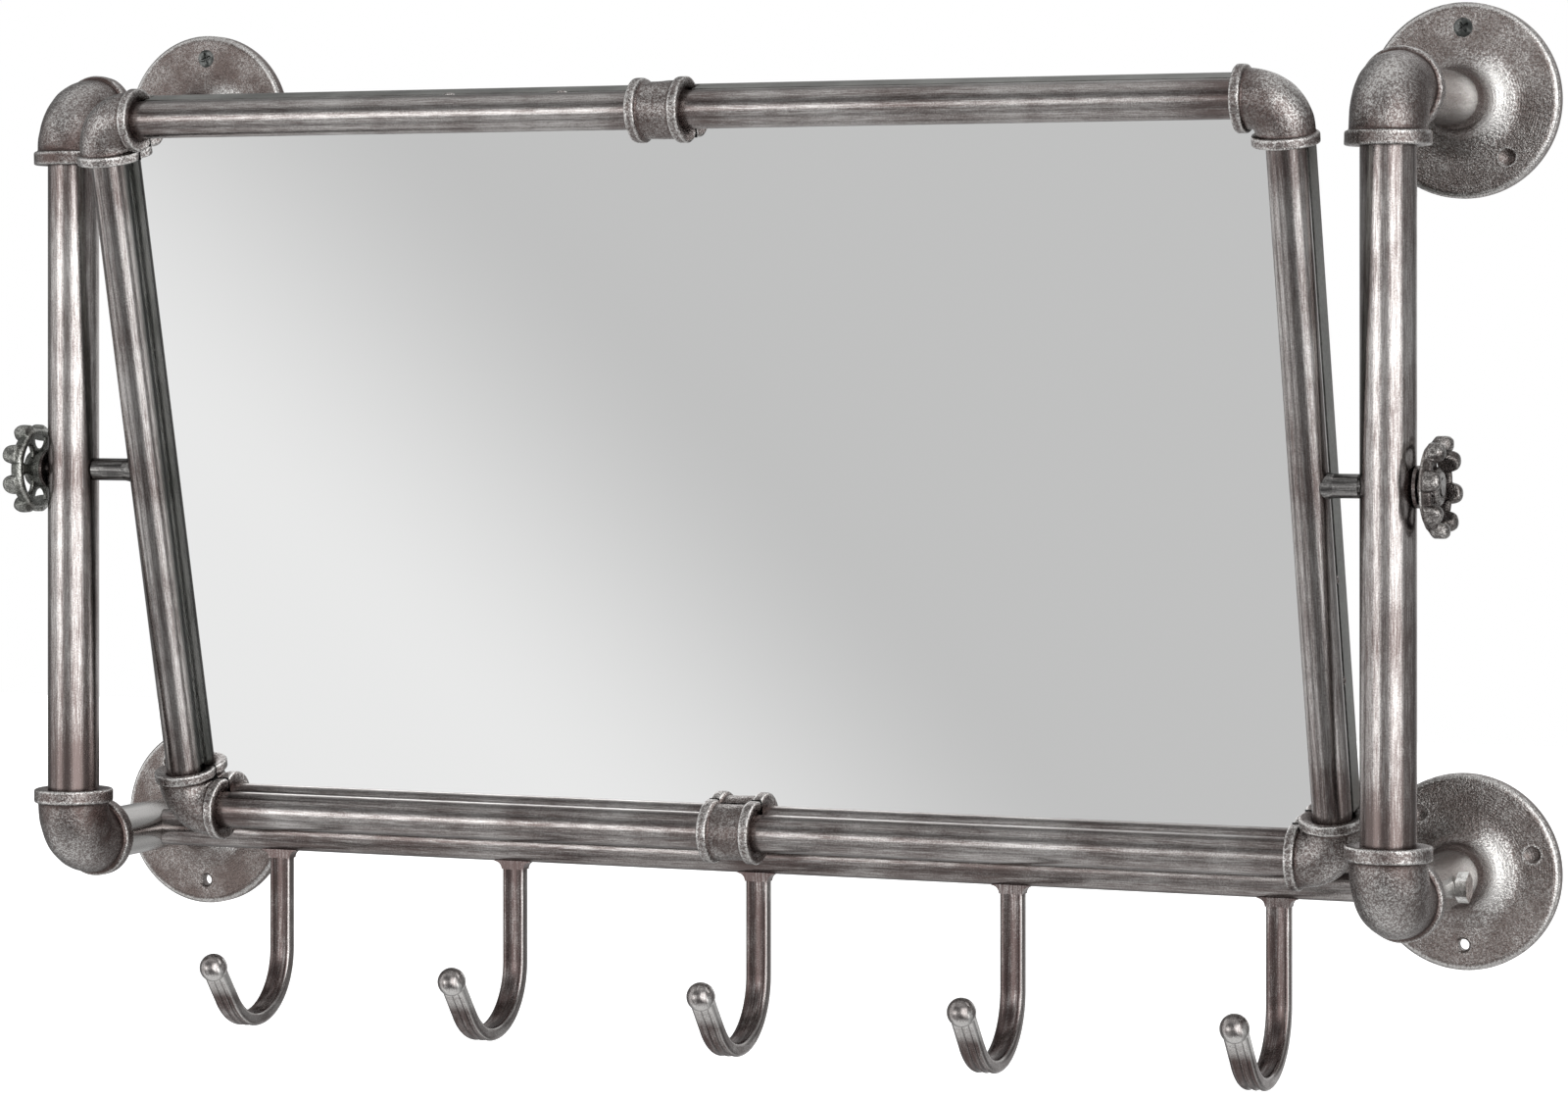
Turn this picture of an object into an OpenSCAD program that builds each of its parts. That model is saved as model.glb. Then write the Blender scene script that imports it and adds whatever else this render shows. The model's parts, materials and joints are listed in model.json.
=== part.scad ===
// Tilting wall mirror built from pipe and cast fittings, with a rail of five coat hooks.
// Millimetres. X runs along the wall, Y goes into the wall (the wall plane is y = 0 and the
// mirror faces -Y), Z is up. The origin is the centre of the rectangle of the wall screw holes.

/* [Wall frame] */
// Distance between the two upright posts, axis to axis
post_spacing = 708.5; // [660:0.5:900]
// Height between the upper and the lower wall flanges, axis to axis
flange_spacing = 381; // [381:0.5:480]
// Distance from the wall to the axis of the posts
standoff = 145.6; // [140:0.2:190]
// Outside diameter of the post and arm pipe
post_od = 26.7; // [26.7:0.1:28]
// Wall thickness of the post and arm pipe
post_wall = 2.9; // [2:0.1:4]

/* [Wall flanges] */
// Outside diameter of a flange
flange_od = 97; // [94:0.5:110]
// Thickness of the flange plate
flange_plate = 6; // [4:0.2:7]
// Radius of the concave flare between plate and hub
flange_flare = 16; // [10:0.5:16.5]
// Height of the hub above the flare
flange_lip = 1; // [1:0.1:4]
// Wall thickness of the flange hub around the pipe
flange_hub_wall = 1.8; // [1.6:0.1:3]
// Distance of the wall screw hole from the flange axis
screw_circle = 36; // [35.5:0.25:38]
// Diameter of the wall screw hole
screw_hole_d = 5.6; // [4.5:0.1:6]
// Diameter of the countersink at the plate face
countersink_d = 8; // [7:0.1:9]
// Diameter of the undrilled marks beside the screw hole
mark_d = 8.8; // [5:0.1:9]
// Depth of the undrilled marks
mark_depth = 2; // [0.8:0.1:2.6]
// Turn from the screw hole to the first mark
mark_turn_a = 106; // [95:1:120]
// Turn from the screw hole to the second mark
mark_turn_b = 218; // [205:1:235]

/* [Post elbows] */
// Diameter of the elbow body
post_body_d = 37.4; // [34:0.1:38]
// Radius of the bend on its inner side
post_bend_inner = 0.7; // [0.4:0.1:2]
// Length of each straight leg past the bend
post_leg = 8.1; // [8.1:0.1:12]
// Length of the beaded rim at the end of the leg
post_bead_w = 7; // [5:0.1:7.5]
// How far the beaded rim stands proud of the body
post_bead_rise = 2.1; // [1.2:0.1:2.3]

/* [Mirror frame] */
// Outside diameter of the frame and rail tube
tube_od = 19.05; // [18:0.05:20]
// Wall thickness of the frame and rail tube
tube_wall = 1.6; // [1:0.1:2.5]
// Distance from a post axis to the axis of the side tube next to it, frame centred
side_gap = 41.25; // [41:0.05:60]
// Frame height between the axes of the top and bottom tubes
frame_h = 370.4; // [320:0.2:371]
// Height of the pivot axis above the middle of the flanges
pivot_z = 4.2; // [0:0.1:8]
// How far the frame sits to the right of the middle
frame_shift = 3.2; // [0:0.1:3.5]
// Forward lean of the mirror frame at rest, top toward the room
lean = 13.7; // [8:0.1:15]
// Diameter of the frame fitting bodies
frame_body_d = 28.8; // [26:0.1:29.4]
// Radius of the frame elbow bend on its inner side
frame_bend_inner = 0.6; // [0.4:0.1:2]
// Length of each straight leg of a frame elbow past the bend
frame_leg = 6.8; // [6.6:0.1:10]
// Length of the beaded rims of the frame fittings
frame_bead_w = 5; // [4:0.1:6]
// How far the beaded rims of the frame fittings stand proud of the bodies
frame_bead_rise = 1.9; // [1.1:0.1:2]
// Length of the middle couplings
coupling_len = 28; // [26:0.5:40]

/* [Mirror and tray] */
// Distance of the glass face behind the tube axes
glass_back = 6.5; // [6.2:0.1:7]
// Thickness of the glass
glass_t = 4; // [3:0.1:4.2]
// Thickness of the backing board
board_t = 5; // [3:0.1:5]
// Distance of the tray back plate behind the tube axes
tray_floor = 17; // [17:0.1:21]
// Thickness of the tray sheet
tray_t = 1.2; // [0.8:0.1:1.5]
// How far the tray wall stands outside the tube axes
tray_side = 9.2; // [9.2:0.1:9.4]
// Length cut off each corner of the tray plate
tray_corner = 26; // [10:1:30]

/* [Pivots and handwheels] */
// Diameter of the pivot shoulder between frame and post
shoulder_d = 11.6; // [10.5:0.1:13]
// Diameter of the pivot stud
stud_d = 8; // [6:0.1:8.4]
// Length of the stud beyond the post
stud_out = 13; // [8:0.5:17]
// Diameter of the handwheel over its knobs
wheel_d = 47; // [44:0.2:50]
// Depth of the handwheel from the back of its web to the tips of the knobs
wheel_depth = 11; // [10:0.2:14]
// Number of finger knobs
knob_count = 10; // [8:1:11]
// Diameter of each finger knob
knob_d = 6.8; // [6:0.1:7.4]
// How far each knob stands proud of the ring
knob_rise = 2.6; // [1.5:0.1:3]
// Distance of the knobs from the back of the web
knob_start = 2.4; // [1.5:0.1:3]
// Height of the ring from the back of the web
ring_h = 6; // [5:0.1:7.5]
// Radial thickness of the ring
ring_t = 3.2; // [2.6:0.1:4]
// Bevel at the back of the ring
ring_bevel = 2.2; // [1:0.1:2.5]
// Number of spokes
spoke_count = 6; // [5:1:7]
// Width of each spoke
spoke_w = 5; // [3:0.1:6]
// Thickness of the web that the spokes belong to
web_t = 2.4; // [2:0.1:3.2]
// Diameter of the wheel hub
hub_d = 14.4; // [13:0.2:17]
// Length of the hub behind the web
hub_back = 4.1; // [2:0.1:6]
// Length of the hub in front of the web
hub_front = 4; // [1:0.1:6]
// Turn of the left handwheel at rest
left_turn = 0; // [0:1:36]
// Turn of the right handwheel at rest
right_turn = 13; // [0:1:36]
// Diameter of the washer under the hub
washer_d = 20; // [15:0.2:24]
// Thickness of the washer
washer_t = 1.6; // [1:0.1:2]

/* [Hook rail] */
// Distance from the wall to the rail axis
rail_y = 67.7; // [64:0.1:72]
// Spacing of the hooks along the rail
hook_pitch = 137.8; // [100:0.2:140]
// Sideways offset of the hook row from the middle
hook_shift = 2.7; // [0:0.1:4]
// Width of the hook bar
hook_w = 12.5; // [10:0.1:16]
// Thickness of the hook bar
hook_t = 7; // [6:0.1:8]
// Rounding of the hook bar edges
hook_edge = 2.4; // [1.5:0.1:2.8]
// Depth of the flutes along the hook bar
flute_depth = 0.7; // [0.3:0.05:0.8]
// Length of the straight hook stem below the rail
hook_drop = 52; // [40:0.2:80]
// Radius of the hook bend centre line
hook_bend_r = 33; // [24:0.2:36]
// Turn of the hook bend
hook_turn = 142; // [130:1:160]
// Length of the straight tip up to the ball centre
hook_tip = 24; // [20:0.5:40]
// Diameter of the ball on the hook tip
ball_d = 14.4; // [13:0.1:17]
// Radius of the weld fillet between hook and rail
hook_fillet = 4; // [2:0.1:5]

/* [Hidden] */
round_fn = 64;
hex_fn = 6;
// radial clearance of a pipe in its socket, and of a stud in its bearing
socket_gap = 0.1;
running_gap = 0.05;
// gap left at a welded or seated joint, and between faces that move past each other
weld_gap = 0.1;
moving_gap = 0.3;
post_r = post_od / 2;
tube_r = tube_od / 2;
post_x = post_spacing / 2;
arm_z = flange_spacing / 2;
frame_w = post_spacing - 2 * side_gap;
fw = frame_w / 2;
fh = frame_h / 2;
hub_r = post_r + flange_hub_wall;
flange_hub_h = flange_plate + flange_flare + flange_lip;
post_bead_d = post_body_d + 2 * post_bead_rise;
post_bend_r = post_body_d / 2 + post_bend_inner;
post_elbow_reach = post_bend_r + post_leg;
frame_bead_d = frame_body_d + 2 * frame_bead_rise;
frame_bend_r = frame_body_d / 2 + frame_bend_inner;
frame_elbow_reach = frame_bend_r + frame_leg;
// how deep a pipe sits in its socket, and the gap between the two tubes inside a coupling
post_socket = 12.5;
frame_socket = 11;
coupling_stop = 6;
// bevel on cast edges
edge_cut = 0.9;
hook_count = 5;
// the hook tip is drawn this much slimmer all round, so that it ends inside the bend
tip_slim = 0.05;
// rail bolt: shank, head across flats, head height, length held in the solid rail end
bolt_d = 8;
bolt_head = 13;
bolt_head_h = 5.3;
bolt_bite = 12;
rail_plug = 18;
// flare of the pivot shoulder at the frame tube: length past the tube, and extra radius
flare_len = 3;
flare_extra = 1.5;
// half width of the cuts that let glass and board pass the beads and the fitting bodies
bead_notch = sqrt(pow(frame_bead_d / 2, 2) - pow(glass_back, 2)) + moving_gap;
body_notch = sqrt(pow(frame_body_d / 2, 2) - pow(glass_back, 2)) + moving_gap;
// how far cuts run past a face, and the length of a cut that passes the whole object
overlap = 1;
big = 200;

flange_ul();
flange_ur();
flange_ll();
flange_lr();
arm_ul();
arm_ur();
arm_ll();
arm_lr();
post_elbow_ul();
post_elbow_ur();
post_elbow_ll();
post_elbow_lr();
post_left();
post_right();
hook_rail();
rail_bolts();
hook_1();
hook_2();
hook_3();
hook_4();
hook_5();
side_tube_left();
side_tube_right();
top_tube_left();
top_tube_right();
bottom_tube_left();
bottom_tube_right();
frame_elbow_ul();
frame_elbow_ur();
frame_elbow_ll();
frame_elbow_lr();
coupling_top();
coupling_bottom();
mirror_glass();
backing_board();
tray();
pivot_left();
pivot_right();
washer_left();
washer_right();
handwheel_left();
handwheel_right();

// ---------------------------------------------------------------- colours
module cast() { color([0.36, 0.33, 0.32]) children(); }
module steel() { color([0.50, 0.48, 0.47]) children(); }
module dark() { color([0.24, 0.22, 0.21]) children(); }

// ---------------------------------------------------------------- general shapes
// hollow round tube along +Z from z0 to z1
module pipe(od, wall, z0, z1) {
  difference() {
    translate([0, 0, z0]) cylinder(d = od, h = z1 - z0, $fn = round_fn);
    translate([0, 0, z0 - overlap])
      cylinder(d = od - 2 * wall, h = z1 - z0 + 2 * overlap, $fn = round_fn);
  }
}

// round bar along +X through the origin
module bar_x(d, x0, x1) {
  translate([x0, 0, 0]) rotate([0, 90, 0]) cylinder(d = d, h = x1 - x0, $fn = round_fn);
}

// quarter ring from the +X leg to the +Z leg of an elbow
module quarter_ring(bend, r) {
  translate([bend, 0, bend]) rotate([90, 0, 0]) rotate([0, 0, 180])
    rotate_extrude(angle = 90, $fn = round_fn) translate([bend, 0]) circle(r = r, $fn = round_fn);
}

// one straight leg of an elbow along +Z, with its beaded rim at the open end
module elbow_leg(reach, bend, body_d, bead_d, bead_w) {
  rotate_extrude($fn = round_fn) polygon([
    [0, bend], [body_d / 2, bend], [body_d / 2, reach - bead_w],
    [bead_d / 2 - edge_cut, reach - bead_w], [bead_d / 2, reach - bead_w + edge_cut],
    [bead_d / 2, reach - edge_cut], [bead_d / 2 - edge_cut, reach], [0, reach]]);
}

// 90 degree beaded elbow with its legs along +X and +Z and a socket in each end
module elbow(reach, bend, body_d, bead_d, bead_w, pipe_d, wall, socket) {
  difference() {
    union() {
      quarter_ring(bend, body_d / 2);
      elbow_leg(reach, bend, body_d, bead_d, bead_w);
      rotate([0, 90, 0]) elbow_leg(reach, bend, body_d, bead_d, bead_w);
    }
    quarter_ring(bend, pipe_d / 2 - wall);
    for (turn = [0, 90]) rotate([0, turn, 0]) {
      translate([0, 0, bend - weld_gap])
        cylinder(d = pipe_d - 2 * wall, h = reach, $fn = round_fn);
      translate([0, 0, reach - socket])
        cylinder(d = pipe_d + 2 * socket_gap, h = socket + overlap, $fn = round_fn);
    }
  }
}

// ---------------------------------------------------------------- wall flanges
// screw hole at the top of an upper flange and at the bottom of a lower one
module flange(side, level) {
  mark_r = (mark_d * mark_d / 4 + mark_depth * mark_depth) / (2 * mark_depth);
  cast() translate([side * post_x, 0, level * arm_z]) rotate([90, 0, 0])
    rotate([0, 0, level > 0 ? 0 : 180]) difference() {
      rotate_extrude($fn = round_fn) difference() {
        union() {
          polygon([[0, 0], [flange_od / 2, 0], [flange_od / 2, flange_plate - edge_cut],
            [flange_od / 2 - edge_cut, flange_plate], [0, flange_plate]]);
          polygon([[0, 0], [hub_r, 0], [hub_r, flange_hub_h - edge_cut],
            [hub_r - edge_cut, flange_hub_h], [0, flange_hub_h]]);
          translate([hub_r - overlap, flange_plate - overlap])
            square([flange_flare + overlap, flange_flare + overlap]);
        }
        translate([hub_r + flange_flare, flange_plate + flange_flare])
          circle(r = flange_flare, $fn = round_fn);
      }
      translate([0, 0, flange_hub_h - post_socket])
        cylinder(d = post_od + 2 * socket_gap, h = post_socket + overlap, $fn = round_fn);
      translate([0, 0, -overlap])
        cylinder(d = post_od - 2 * post_wall, h = flange_hub_h, $fn = round_fn);
      translate([0, screw_circle, -overlap])
        cylinder(d = screw_hole_d, h = flange_plate + 2 * overlap, $fn = round_fn);
      translate([0, screw_circle, flange_plate - (countersink_d - screw_hole_d) / 2])
        cylinder(d1 = screw_hole_d, d2 = countersink_d + 2 * overlap,
          h = (countersink_d - screw_hole_d) / 2 + overlap, $fn = round_fn);
      for (turn = [mark_turn_a, mark_turn_b]) rotate([0, 0, turn])
        translate([0, screw_circle, flange_plate - mark_depth + mark_r])
          sphere(r = mark_r, $fn = round_fn);
    }
}

module flange_ul() { flange(-1, 1); }
module flange_ur() { flange(1, 1); }
module flange_ll() { flange(-1, -1); }
module flange_lr() { flange(1, -1); }

// ---------------------------------------------------------------- arms, post elbows and posts
module arm(side, level) {
  steel() translate([side * post_x, 0, level * arm_z]) difference() {
    rotate([90, 0, 0]) pipe(post_od, post_wall, flange_hub_h - post_socket + weld_gap,
      standoff - post_elbow_reach + post_socket - weld_gap);
    if (level < 0) translate([0, -rail_y, 0])
      bar_x(bolt_d + 2 * socket_gap, -post_od, post_od);
  }
}

module arm_ul() { arm(-1, 1); }
module arm_ur() { arm(1, 1); }
module arm_ll() { arm(-1, -1); }
module arm_lr() { arm(1, -1); }

module post_elbow(side, level) {
  cast() translate([side * post_x, -standoff, level * arm_z])
    rotate([0, 0, 90]) rotate([level > 0 ? 180 : 0, 0, 0])
      elbow(post_elbow_reach, post_bend_r, post_body_d, post_bead_d, post_bead_w,
        post_od, post_wall, post_socket);
}

module post_elbow_ul() { post_elbow(-1, 1); }
module post_elbow_ur() { post_elbow(1, 1); }
module post_elbow_ll() { post_elbow(-1, -1); }
module post_elbow_lr() { post_elbow(1, -1); }

module post(side) {
  half = arm_z - post_elbow_reach + post_socket - weld_gap;
  steel() translate([side * post_x, -standoff, 0]) difference() {
    pipe(post_od, post_wall, -half, half);
    translate([0, 0, pivot_z]) bar_x(stud_d + 2 * running_gap, -post_od, post_od);
  }
}

module post_left() { post(-1); }
module post_right() { post(1); }

// ---------------------------------------------------------------- hook rail and bolts
module hook_rail() {
  plug_x = post_x - post_r - rail_plug;
  steel() translate([0, -rail_y, -arm_z]) difference() {
    bar_x(tube_od, -post_x, post_x);
    bar_x(tube_od - 2 * tube_wall, -plug_x, plug_x);
    for (side = [-1, 1]) {
      translate([side * post_x, 0, 0]) rotate([90, 0, 0])
        cylinder(r = post_r + weld_gap, h = big, center = true, $fn = round_fn);
      translate([side * (post_x - post_r), 0, 0])
        bar_x(bolt_d + 2 * running_gap, -bolt_bite - overlap, bolt_bite + overlap);
    }
  }
}

// hex bolt through each lower arm into the solid end of the rail
module rail_bolts() {
  for (side = [-1, 1])
    dark() translate([0, -rail_y, -arm_z]) rotate([0, 0, side > 0 ? 0 : 180]) {
      bar_x(bolt_d, post_x - post_r - bolt_bite, post_x + post_r + weld_gap + overlap);
      translate([post_x + post_r + weld_gap, 0, 0]) rotate([0, 90, 0])
        cylinder(d = bolt_head / cos(30), h = bolt_head_h, $fn = hex_fn);
    }
}

// ---------------------------------------------------------------- hooks
// bar section: x points to the outside of the bend, y across the bar; slim draws it smaller
module hook_section(slim = 0) {
  flat = hook_w / 2 - hook_edge;
  deep = hook_t / 2 - hook_edge;
  inner_r = (flat * flat + flute_depth * flute_depth) / (2 * flute_depth);
  outer_r = (flat * flat / 4 + flute_depth * flute_depth) / (2 * flute_depth);
  difference() {
    union() {
      square([hook_t - 2 * slim, 2 * flat], center = true);
      square([2 * deep, hook_w - 2 * slim], center = true);
      for (sx = [-1, 1], sy = [-1, 1])
        translate([sx * deep, sy * flat]) circle(r = hook_edge - slim, $fn = round_fn);
    }
    translate([slim + flute_depth - hook_t / 2 - inner_r, 0])
      circle(r = inner_r, $fn = round_fn);
    for (sy = [-1, 1])
      translate([hook_t / 2 + outer_r - flute_depth - slim, sy * flat / 2])
        circle(r = outer_r, $fn = round_fn);
  }
}

// stem, bend, straight tip and ball; the weld fillet spreads at the rail
module hook(index) {
  x = hook_shift + (index - (hook_count + 1) / 2) * hook_pitch;
  stem_top = -arm_z - tube_r;
  bend_z = stem_top - hook_drop;
  steel() difference() {
    union() {
      translate([x, -rail_y, bend_z])
        linear_extrude(hook_drop + tube_r / 2) rotate(90) hook_section();
      translate([x, -rail_y - hook_bend_r, bend_z]) rotate([-90, 0, 90]) {
        rotate_extrude(angle = hook_turn, $fn = round_fn)
          translate([hook_bend_r, 0]) hook_section();
        rotate([0, 0, hook_turn]) translate([hook_bend_r, 0, 0]) {
          translate([0, -overlap, 0]) rotate([-90, 0, 0])
            linear_extrude(hook_tip + overlap) hook_section(tip_slim);
          translate([0, hook_tip, 0]) sphere(d = ball_d, $fn = round_fn);
        }
      }
      difference() {
        translate([x - hook_w / 2 - hook_fillet, -rail_y - hook_t / 2, stem_top - hook_fillet])
          cube([hook_w + 2 * hook_fillet, hook_t, hook_fillet + tube_r / 2]);
        for (side = [-1, 1])
          translate([x + side * (hook_w / 2 + hook_fillet), -rail_y, stem_top - hook_fillet])
            rotate([90, 0, 0])
              cylinder(r = hook_fillet, h = 2 * hook_t, center = true, $fn = round_fn);
      }
    }
    translate([x, -rail_y, -arm_z]) bar_x(tube_od + 2 * weld_gap, -big, big);
  }
}

module hook_1() { hook(1); }
module hook_2() { hook(2); }
module hook_3() { hook(3); }
module hook_4() { hook(4); }
module hook_5() { hook(5); }

// ---------------------------------------------------------------- mirror frame
// frame axes: x along the wall, y behind the tube axes, z up the leaning frame
module leaning() {
  translate([frame_shift, -standoff, pivot_z]) rotate([lean, 0, 0]) children();
}

module side_tube(side) {
  half = fh - frame_elbow_reach + frame_socket - weld_gap;
  steel() leaning() translate([side * fw, 0, 0]) pipe(tube_od, tube_wall, -half, half);
}

module side_tube_left() { side_tube(-1); }
module side_tube_right() { side_tube(1); }

module cross_tube(side, level) {
  steel() leaning() translate([0, 0, level * fh]) rotate([0, side * 90, 0])
    pipe(tube_od, tube_wall, coupling_stop / 2 + weld_gap,
      fw - frame_elbow_reach + frame_socket - weld_gap);
}

module top_tube_left() { cross_tube(-1, 1); }
module top_tube_right() { cross_tube(1, 1); }
module bottom_tube_left() { cross_tube(-1, -1); }
module bottom_tube_right() { cross_tube(1, -1); }

module frame_elbow(side, level) {
  turn = level > 0 ? (side < 0 ? [180, 0, 0] : [0, 180, 0])
    : (side < 0 ? [0, 0, 0] : [0, 0, 180]);
  cast() leaning() translate([side * fw, 0, level * fh]) rotate(turn)
    elbow(frame_elbow_reach, frame_bend_r, frame_body_d, frame_bead_d, frame_bead_w,
      tube_od, tube_wall, frame_socket);
}

module frame_elbow_ul() { frame_elbow(-1, 1); }
module frame_elbow_ur() { frame_elbow(1, 1); }
module frame_elbow_ll() { frame_elbow(-1, -1); }
module frame_elbow_lr() { frame_elbow(1, -1); }

// straight beaded coupling in the middle of the top and bottom tubes
module coupling(level) {
  half = coupling_len / 2;
  bead_r = frame_bead_d / 2;
  body_r = frame_body_d / 2;
  cast() leaning() translate([0, 0, level * fh]) rotate([0, 90, 0]) difference() {
    rotate_extrude($fn = round_fn) polygon([
      [0, -half], [bead_r - edge_cut, -half], [bead_r, -half + edge_cut],
      [bead_r, -half + frame_bead_w - edge_cut], [bead_r - edge_cut, -half + frame_bead_w],
      [body_r, -half + frame_bead_w], [body_r, half - frame_bead_w],
      [bead_r - edge_cut, half - frame_bead_w], [bead_r, half - frame_bead_w + edge_cut],
      [bead_r, half - edge_cut], [bead_r - edge_cut, half], [0, half]]);
    cylinder(d = tube_od - 2 * tube_wall, h = 2 * coupling_len, center = true, $fn = round_fn);
    for (turn = [0, 180]) rotate([turn, 0, 0]) translate([0, 0, coupling_stop / 2])
      cylinder(d = tube_od + 2 * socket_gap, h = coupling_len, $fn = round_fn);
  }
}

module coupling_top() { coupling(1); }
module coupling_bottom() { coupling(-1); }

// ---------------------------------------------------------------- glass, board and tray
// flat panel from y0 to y1 behind the tube axes, notched round the elbows and couplings
module panel(inset, y0, y1) {
  deep = 4 * tray_floor;
  w = frame_w - 2 * inset;
  h = frame_h - 2 * inset;
  long = frame_elbow_reach + moving_gap;
  half = coupling_len / 2 + moving_gap;
  bead_reach = frame_bead_w + 2 * moving_gap;
  difference() {
    translate([-w / 2, y0, -h / 2]) cube([w, y1 - y0, h]);
    for (sz = [-1, 1]) {
      for (sx = [-1, 1]) translate([sx * fw, 0, sz * fh]) {
        cube([2 * bead_notch, deep, 2 * long], center = true);
        cube([2 * long, deep, 2 * bead_notch], center = true);
      }
      translate([0, 0, sz * fh]) {
        cube([2 * half, deep, 2 * body_notch], center = true);
        for (sx = [-1, 1]) translate([sx * (half - bead_reach / 2), 0, 0])
          cube([bead_reach, deep, 2 * bead_notch], center = true);
      }
    }
  }
}

module mirror_glass() {
  edge = sqrt(tube_r * tube_r - glass_back * glass_back) + 2 * socket_gap;
  color([0.80, 0.82, 0.83]) leaning() panel(edge, glass_back, glass_back + glass_t);
}

module backing_board() {
  color([0.20, 0.18, 0.16]) leaning()
    panel(-tray_side + tray_t + 2 * socket_gap, glass_back + glass_t, glass_back + glass_t + board_t);
}

// sheet tray behind the tubes: back plate and edge walls that stop short of the elbows,
// the couplings and the pivots
module tray() {
  front = sqrt(tube_r * tube_r - pow(tray_side - tray_t, 2)) + 2 * socket_gap;
  w = frame_w + 2 * tray_side;
  h = frame_h + 2 * tray_side;
  clear = frame_elbow_reach + moving_gap;
  wall_x = coupling_len / 2 + moving_gap;
  dark() leaning() {
    translate([0, tray_floor + tray_t, 0]) rotate([90, 0, 0]) linear_extrude(tray_t)
      polygon([for (c = [[1, 1], [-1, 1], [-1, -1], [1, -1]], first = [0, 1])
        [c[0] * (w / 2 - (c[0] * c[1] > 0 ? first : 1 - first) * tray_corner),
          c[1] * (h / 2 - (c[0] * c[1] > 0 ? 1 - first : first) * tray_corner)]]);
    for (side = [-1, 1]) {
      difference() {
        translate([side * (w - tray_t) / 2 - tray_t / 2, front, -fh + clear])
          cube([tray_t, tray_floor - front + tray_t, frame_h - 2 * clear]);
        bar_x(shoulder_d + 2 * flare_extra + 2 * moving_gap, -w, w);
      }
      for (level = [-1, 1])
        translate([side > 0 ? wall_x : -fw + clear, front, level * (h - tray_t) / 2 - tray_t / 2])
          cube([fw - clear - wall_x, tray_floor - front + tray_t, tray_t]);
    }
  }
}

// ---------------------------------------------------------------- pivots and handwheels
// turned stud welded to the side tube: shoulder up to the post, then the stud through it
module pivot(side) {
  tube_x = side * frame_shift + fw;
  shoulder_x = post_x - post_r - moving_gap;
  flare_start = tube_r / 2;
  steel() translate([0, -standoff, pivot_z]) rotate([0, 0, side > 0 ? 0 : 180]) difference() {
    union() {
      bar_x(shoulder_d, tube_x + flare_start, shoulder_x);
      bar_x(stud_d, tube_x + flare_start, post_x + post_r + stud_out);
      translate([tube_x + flare_start, 0, 0]) rotate([0, 90, 0])
        cylinder(d1 = shoulder_d + 2 * flare_extra, d2 = shoulder_d,
          h = tube_r - flare_start + flare_len, $fn = round_fn);
    }
    translate([tube_x, 0, 0]) rotate([lean * side, 0, 0])
      cylinder(r = tube_r + weld_gap, h = big, center = true, $fn = round_fn);
  }
}

module pivot_left() { pivot(-1); }
module pivot_right() { pivot(1); }

// placed with +Z pointing outward along the pivot, z = 0 on the post surface
module on_pivot(side) {
  translate([side * (post_x + post_r), -standoff, pivot_z]) rotate([0, side * 90, 0]) children();
}

module washer(side) {
  dark() on_pivot(side) translate([0, 0, moving_gap]) difference() {
    cylinder(d = washer_d, h = washer_t, $fn = round_fn);
    translate([0, 0, -overlap])
      cylinder(d = stud_d + 2 * moving_gap, h = washer_t + 2 * overlap, $fn = round_fn);
  }
}

module washer_left() { washer(-1); }
module washer_right() { washer(1); }

// wheel: hub down to the washer, spoked web, ring with a bevelled back, and finger knobs
module handwheel(side) {
  base = moving_gap + washer_t + weld_gap;
  web_z = base + hub_back;
  knob_c = (wheel_d - knob_d) / 2;
  knob_r = knob_d / 2;
  ring_out = wheel_d / 2 - knob_rise;
  ring_in = ring_out - ring_t;
  ring_z = web_z + ring_h;
  hub_r1 = hub_d / 2;
  hub_z = web_z + web_t + hub_front;
  dark() on_pivot(side) rotate([0, 0, side > 0 ? right_turn : left_turn]) difference() {
    union() {
      rotate_extrude($fn = round_fn) polygon([
        [0, base], [hub_r1 - edge_cut, base], [hub_r1, base + edge_cut], [hub_r1, web_z],
        [ring_out - ring_bevel, web_z], [ring_out, web_z + ring_bevel],
        [ring_out, ring_z - edge_cut], [ring_out - edge_cut, ring_z],
        [ring_in + edge_cut, ring_z], [ring_in, ring_z - edge_cut], [ring_in, web_z + web_t],
        [hub_r1, web_z + web_t], [hub_r1, hub_z - edge_cut], [hub_r1 - edge_cut, hub_z],
        [0, hub_z]]);
      for (i = [0 : knob_count - 1]) rotate([0, 0, i * 360 / knob_count])
        translate([knob_c, 0, web_z + knob_start + knob_r]) {
          sphere(r = knob_r, $fn = round_fn);
          cylinder(r = knob_r, h = wheel_depth - knob_start - knob_d, $fn = round_fn);
          translate([0, 0, wheel_depth - knob_start - knob_d]) sphere(r = knob_r, $fn = round_fn);
        }
    }
    translate([0, 0, base - overlap])
      cylinder(d = stud_d + 2 * running_gap, h = hub_z - base + 2 * overlap, $fn = round_fn);
    translate([0, 0, web_z - overlap]) linear_extrude(web_t + 2 * overlap) difference() {
      circle(r = ring_in - edge_cut, $fn = round_fn);
      circle(d = hub_d, $fn = round_fn);
      for (i = [0 : spoke_count - 1]) rotate((i + 0.5) * 360 / spoke_count)
        translate([0, -spoke_w / 2]) square([wheel_d, spoke_w]);
    }
  }
}

module handwheel_left() { handwheel(-1); }
module handwheel_right() { handwheel(1); }
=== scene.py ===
# %% [markdown]
# # A tilting pipe mirror with a rail of hooks
# The object is a wall mirror held in a frame of steel tube and cast fittings. Two posts stand off
# the wall on flanged arms, the frame tilts between them, and five hooks hang from a rail below.
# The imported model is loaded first: every solid of the construction arrives as one object in metres,
# x along the wall, y into the wall, z up. Loading it, rather than drawing it again, keeps every size
# and every joint where the construction put it.

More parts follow.
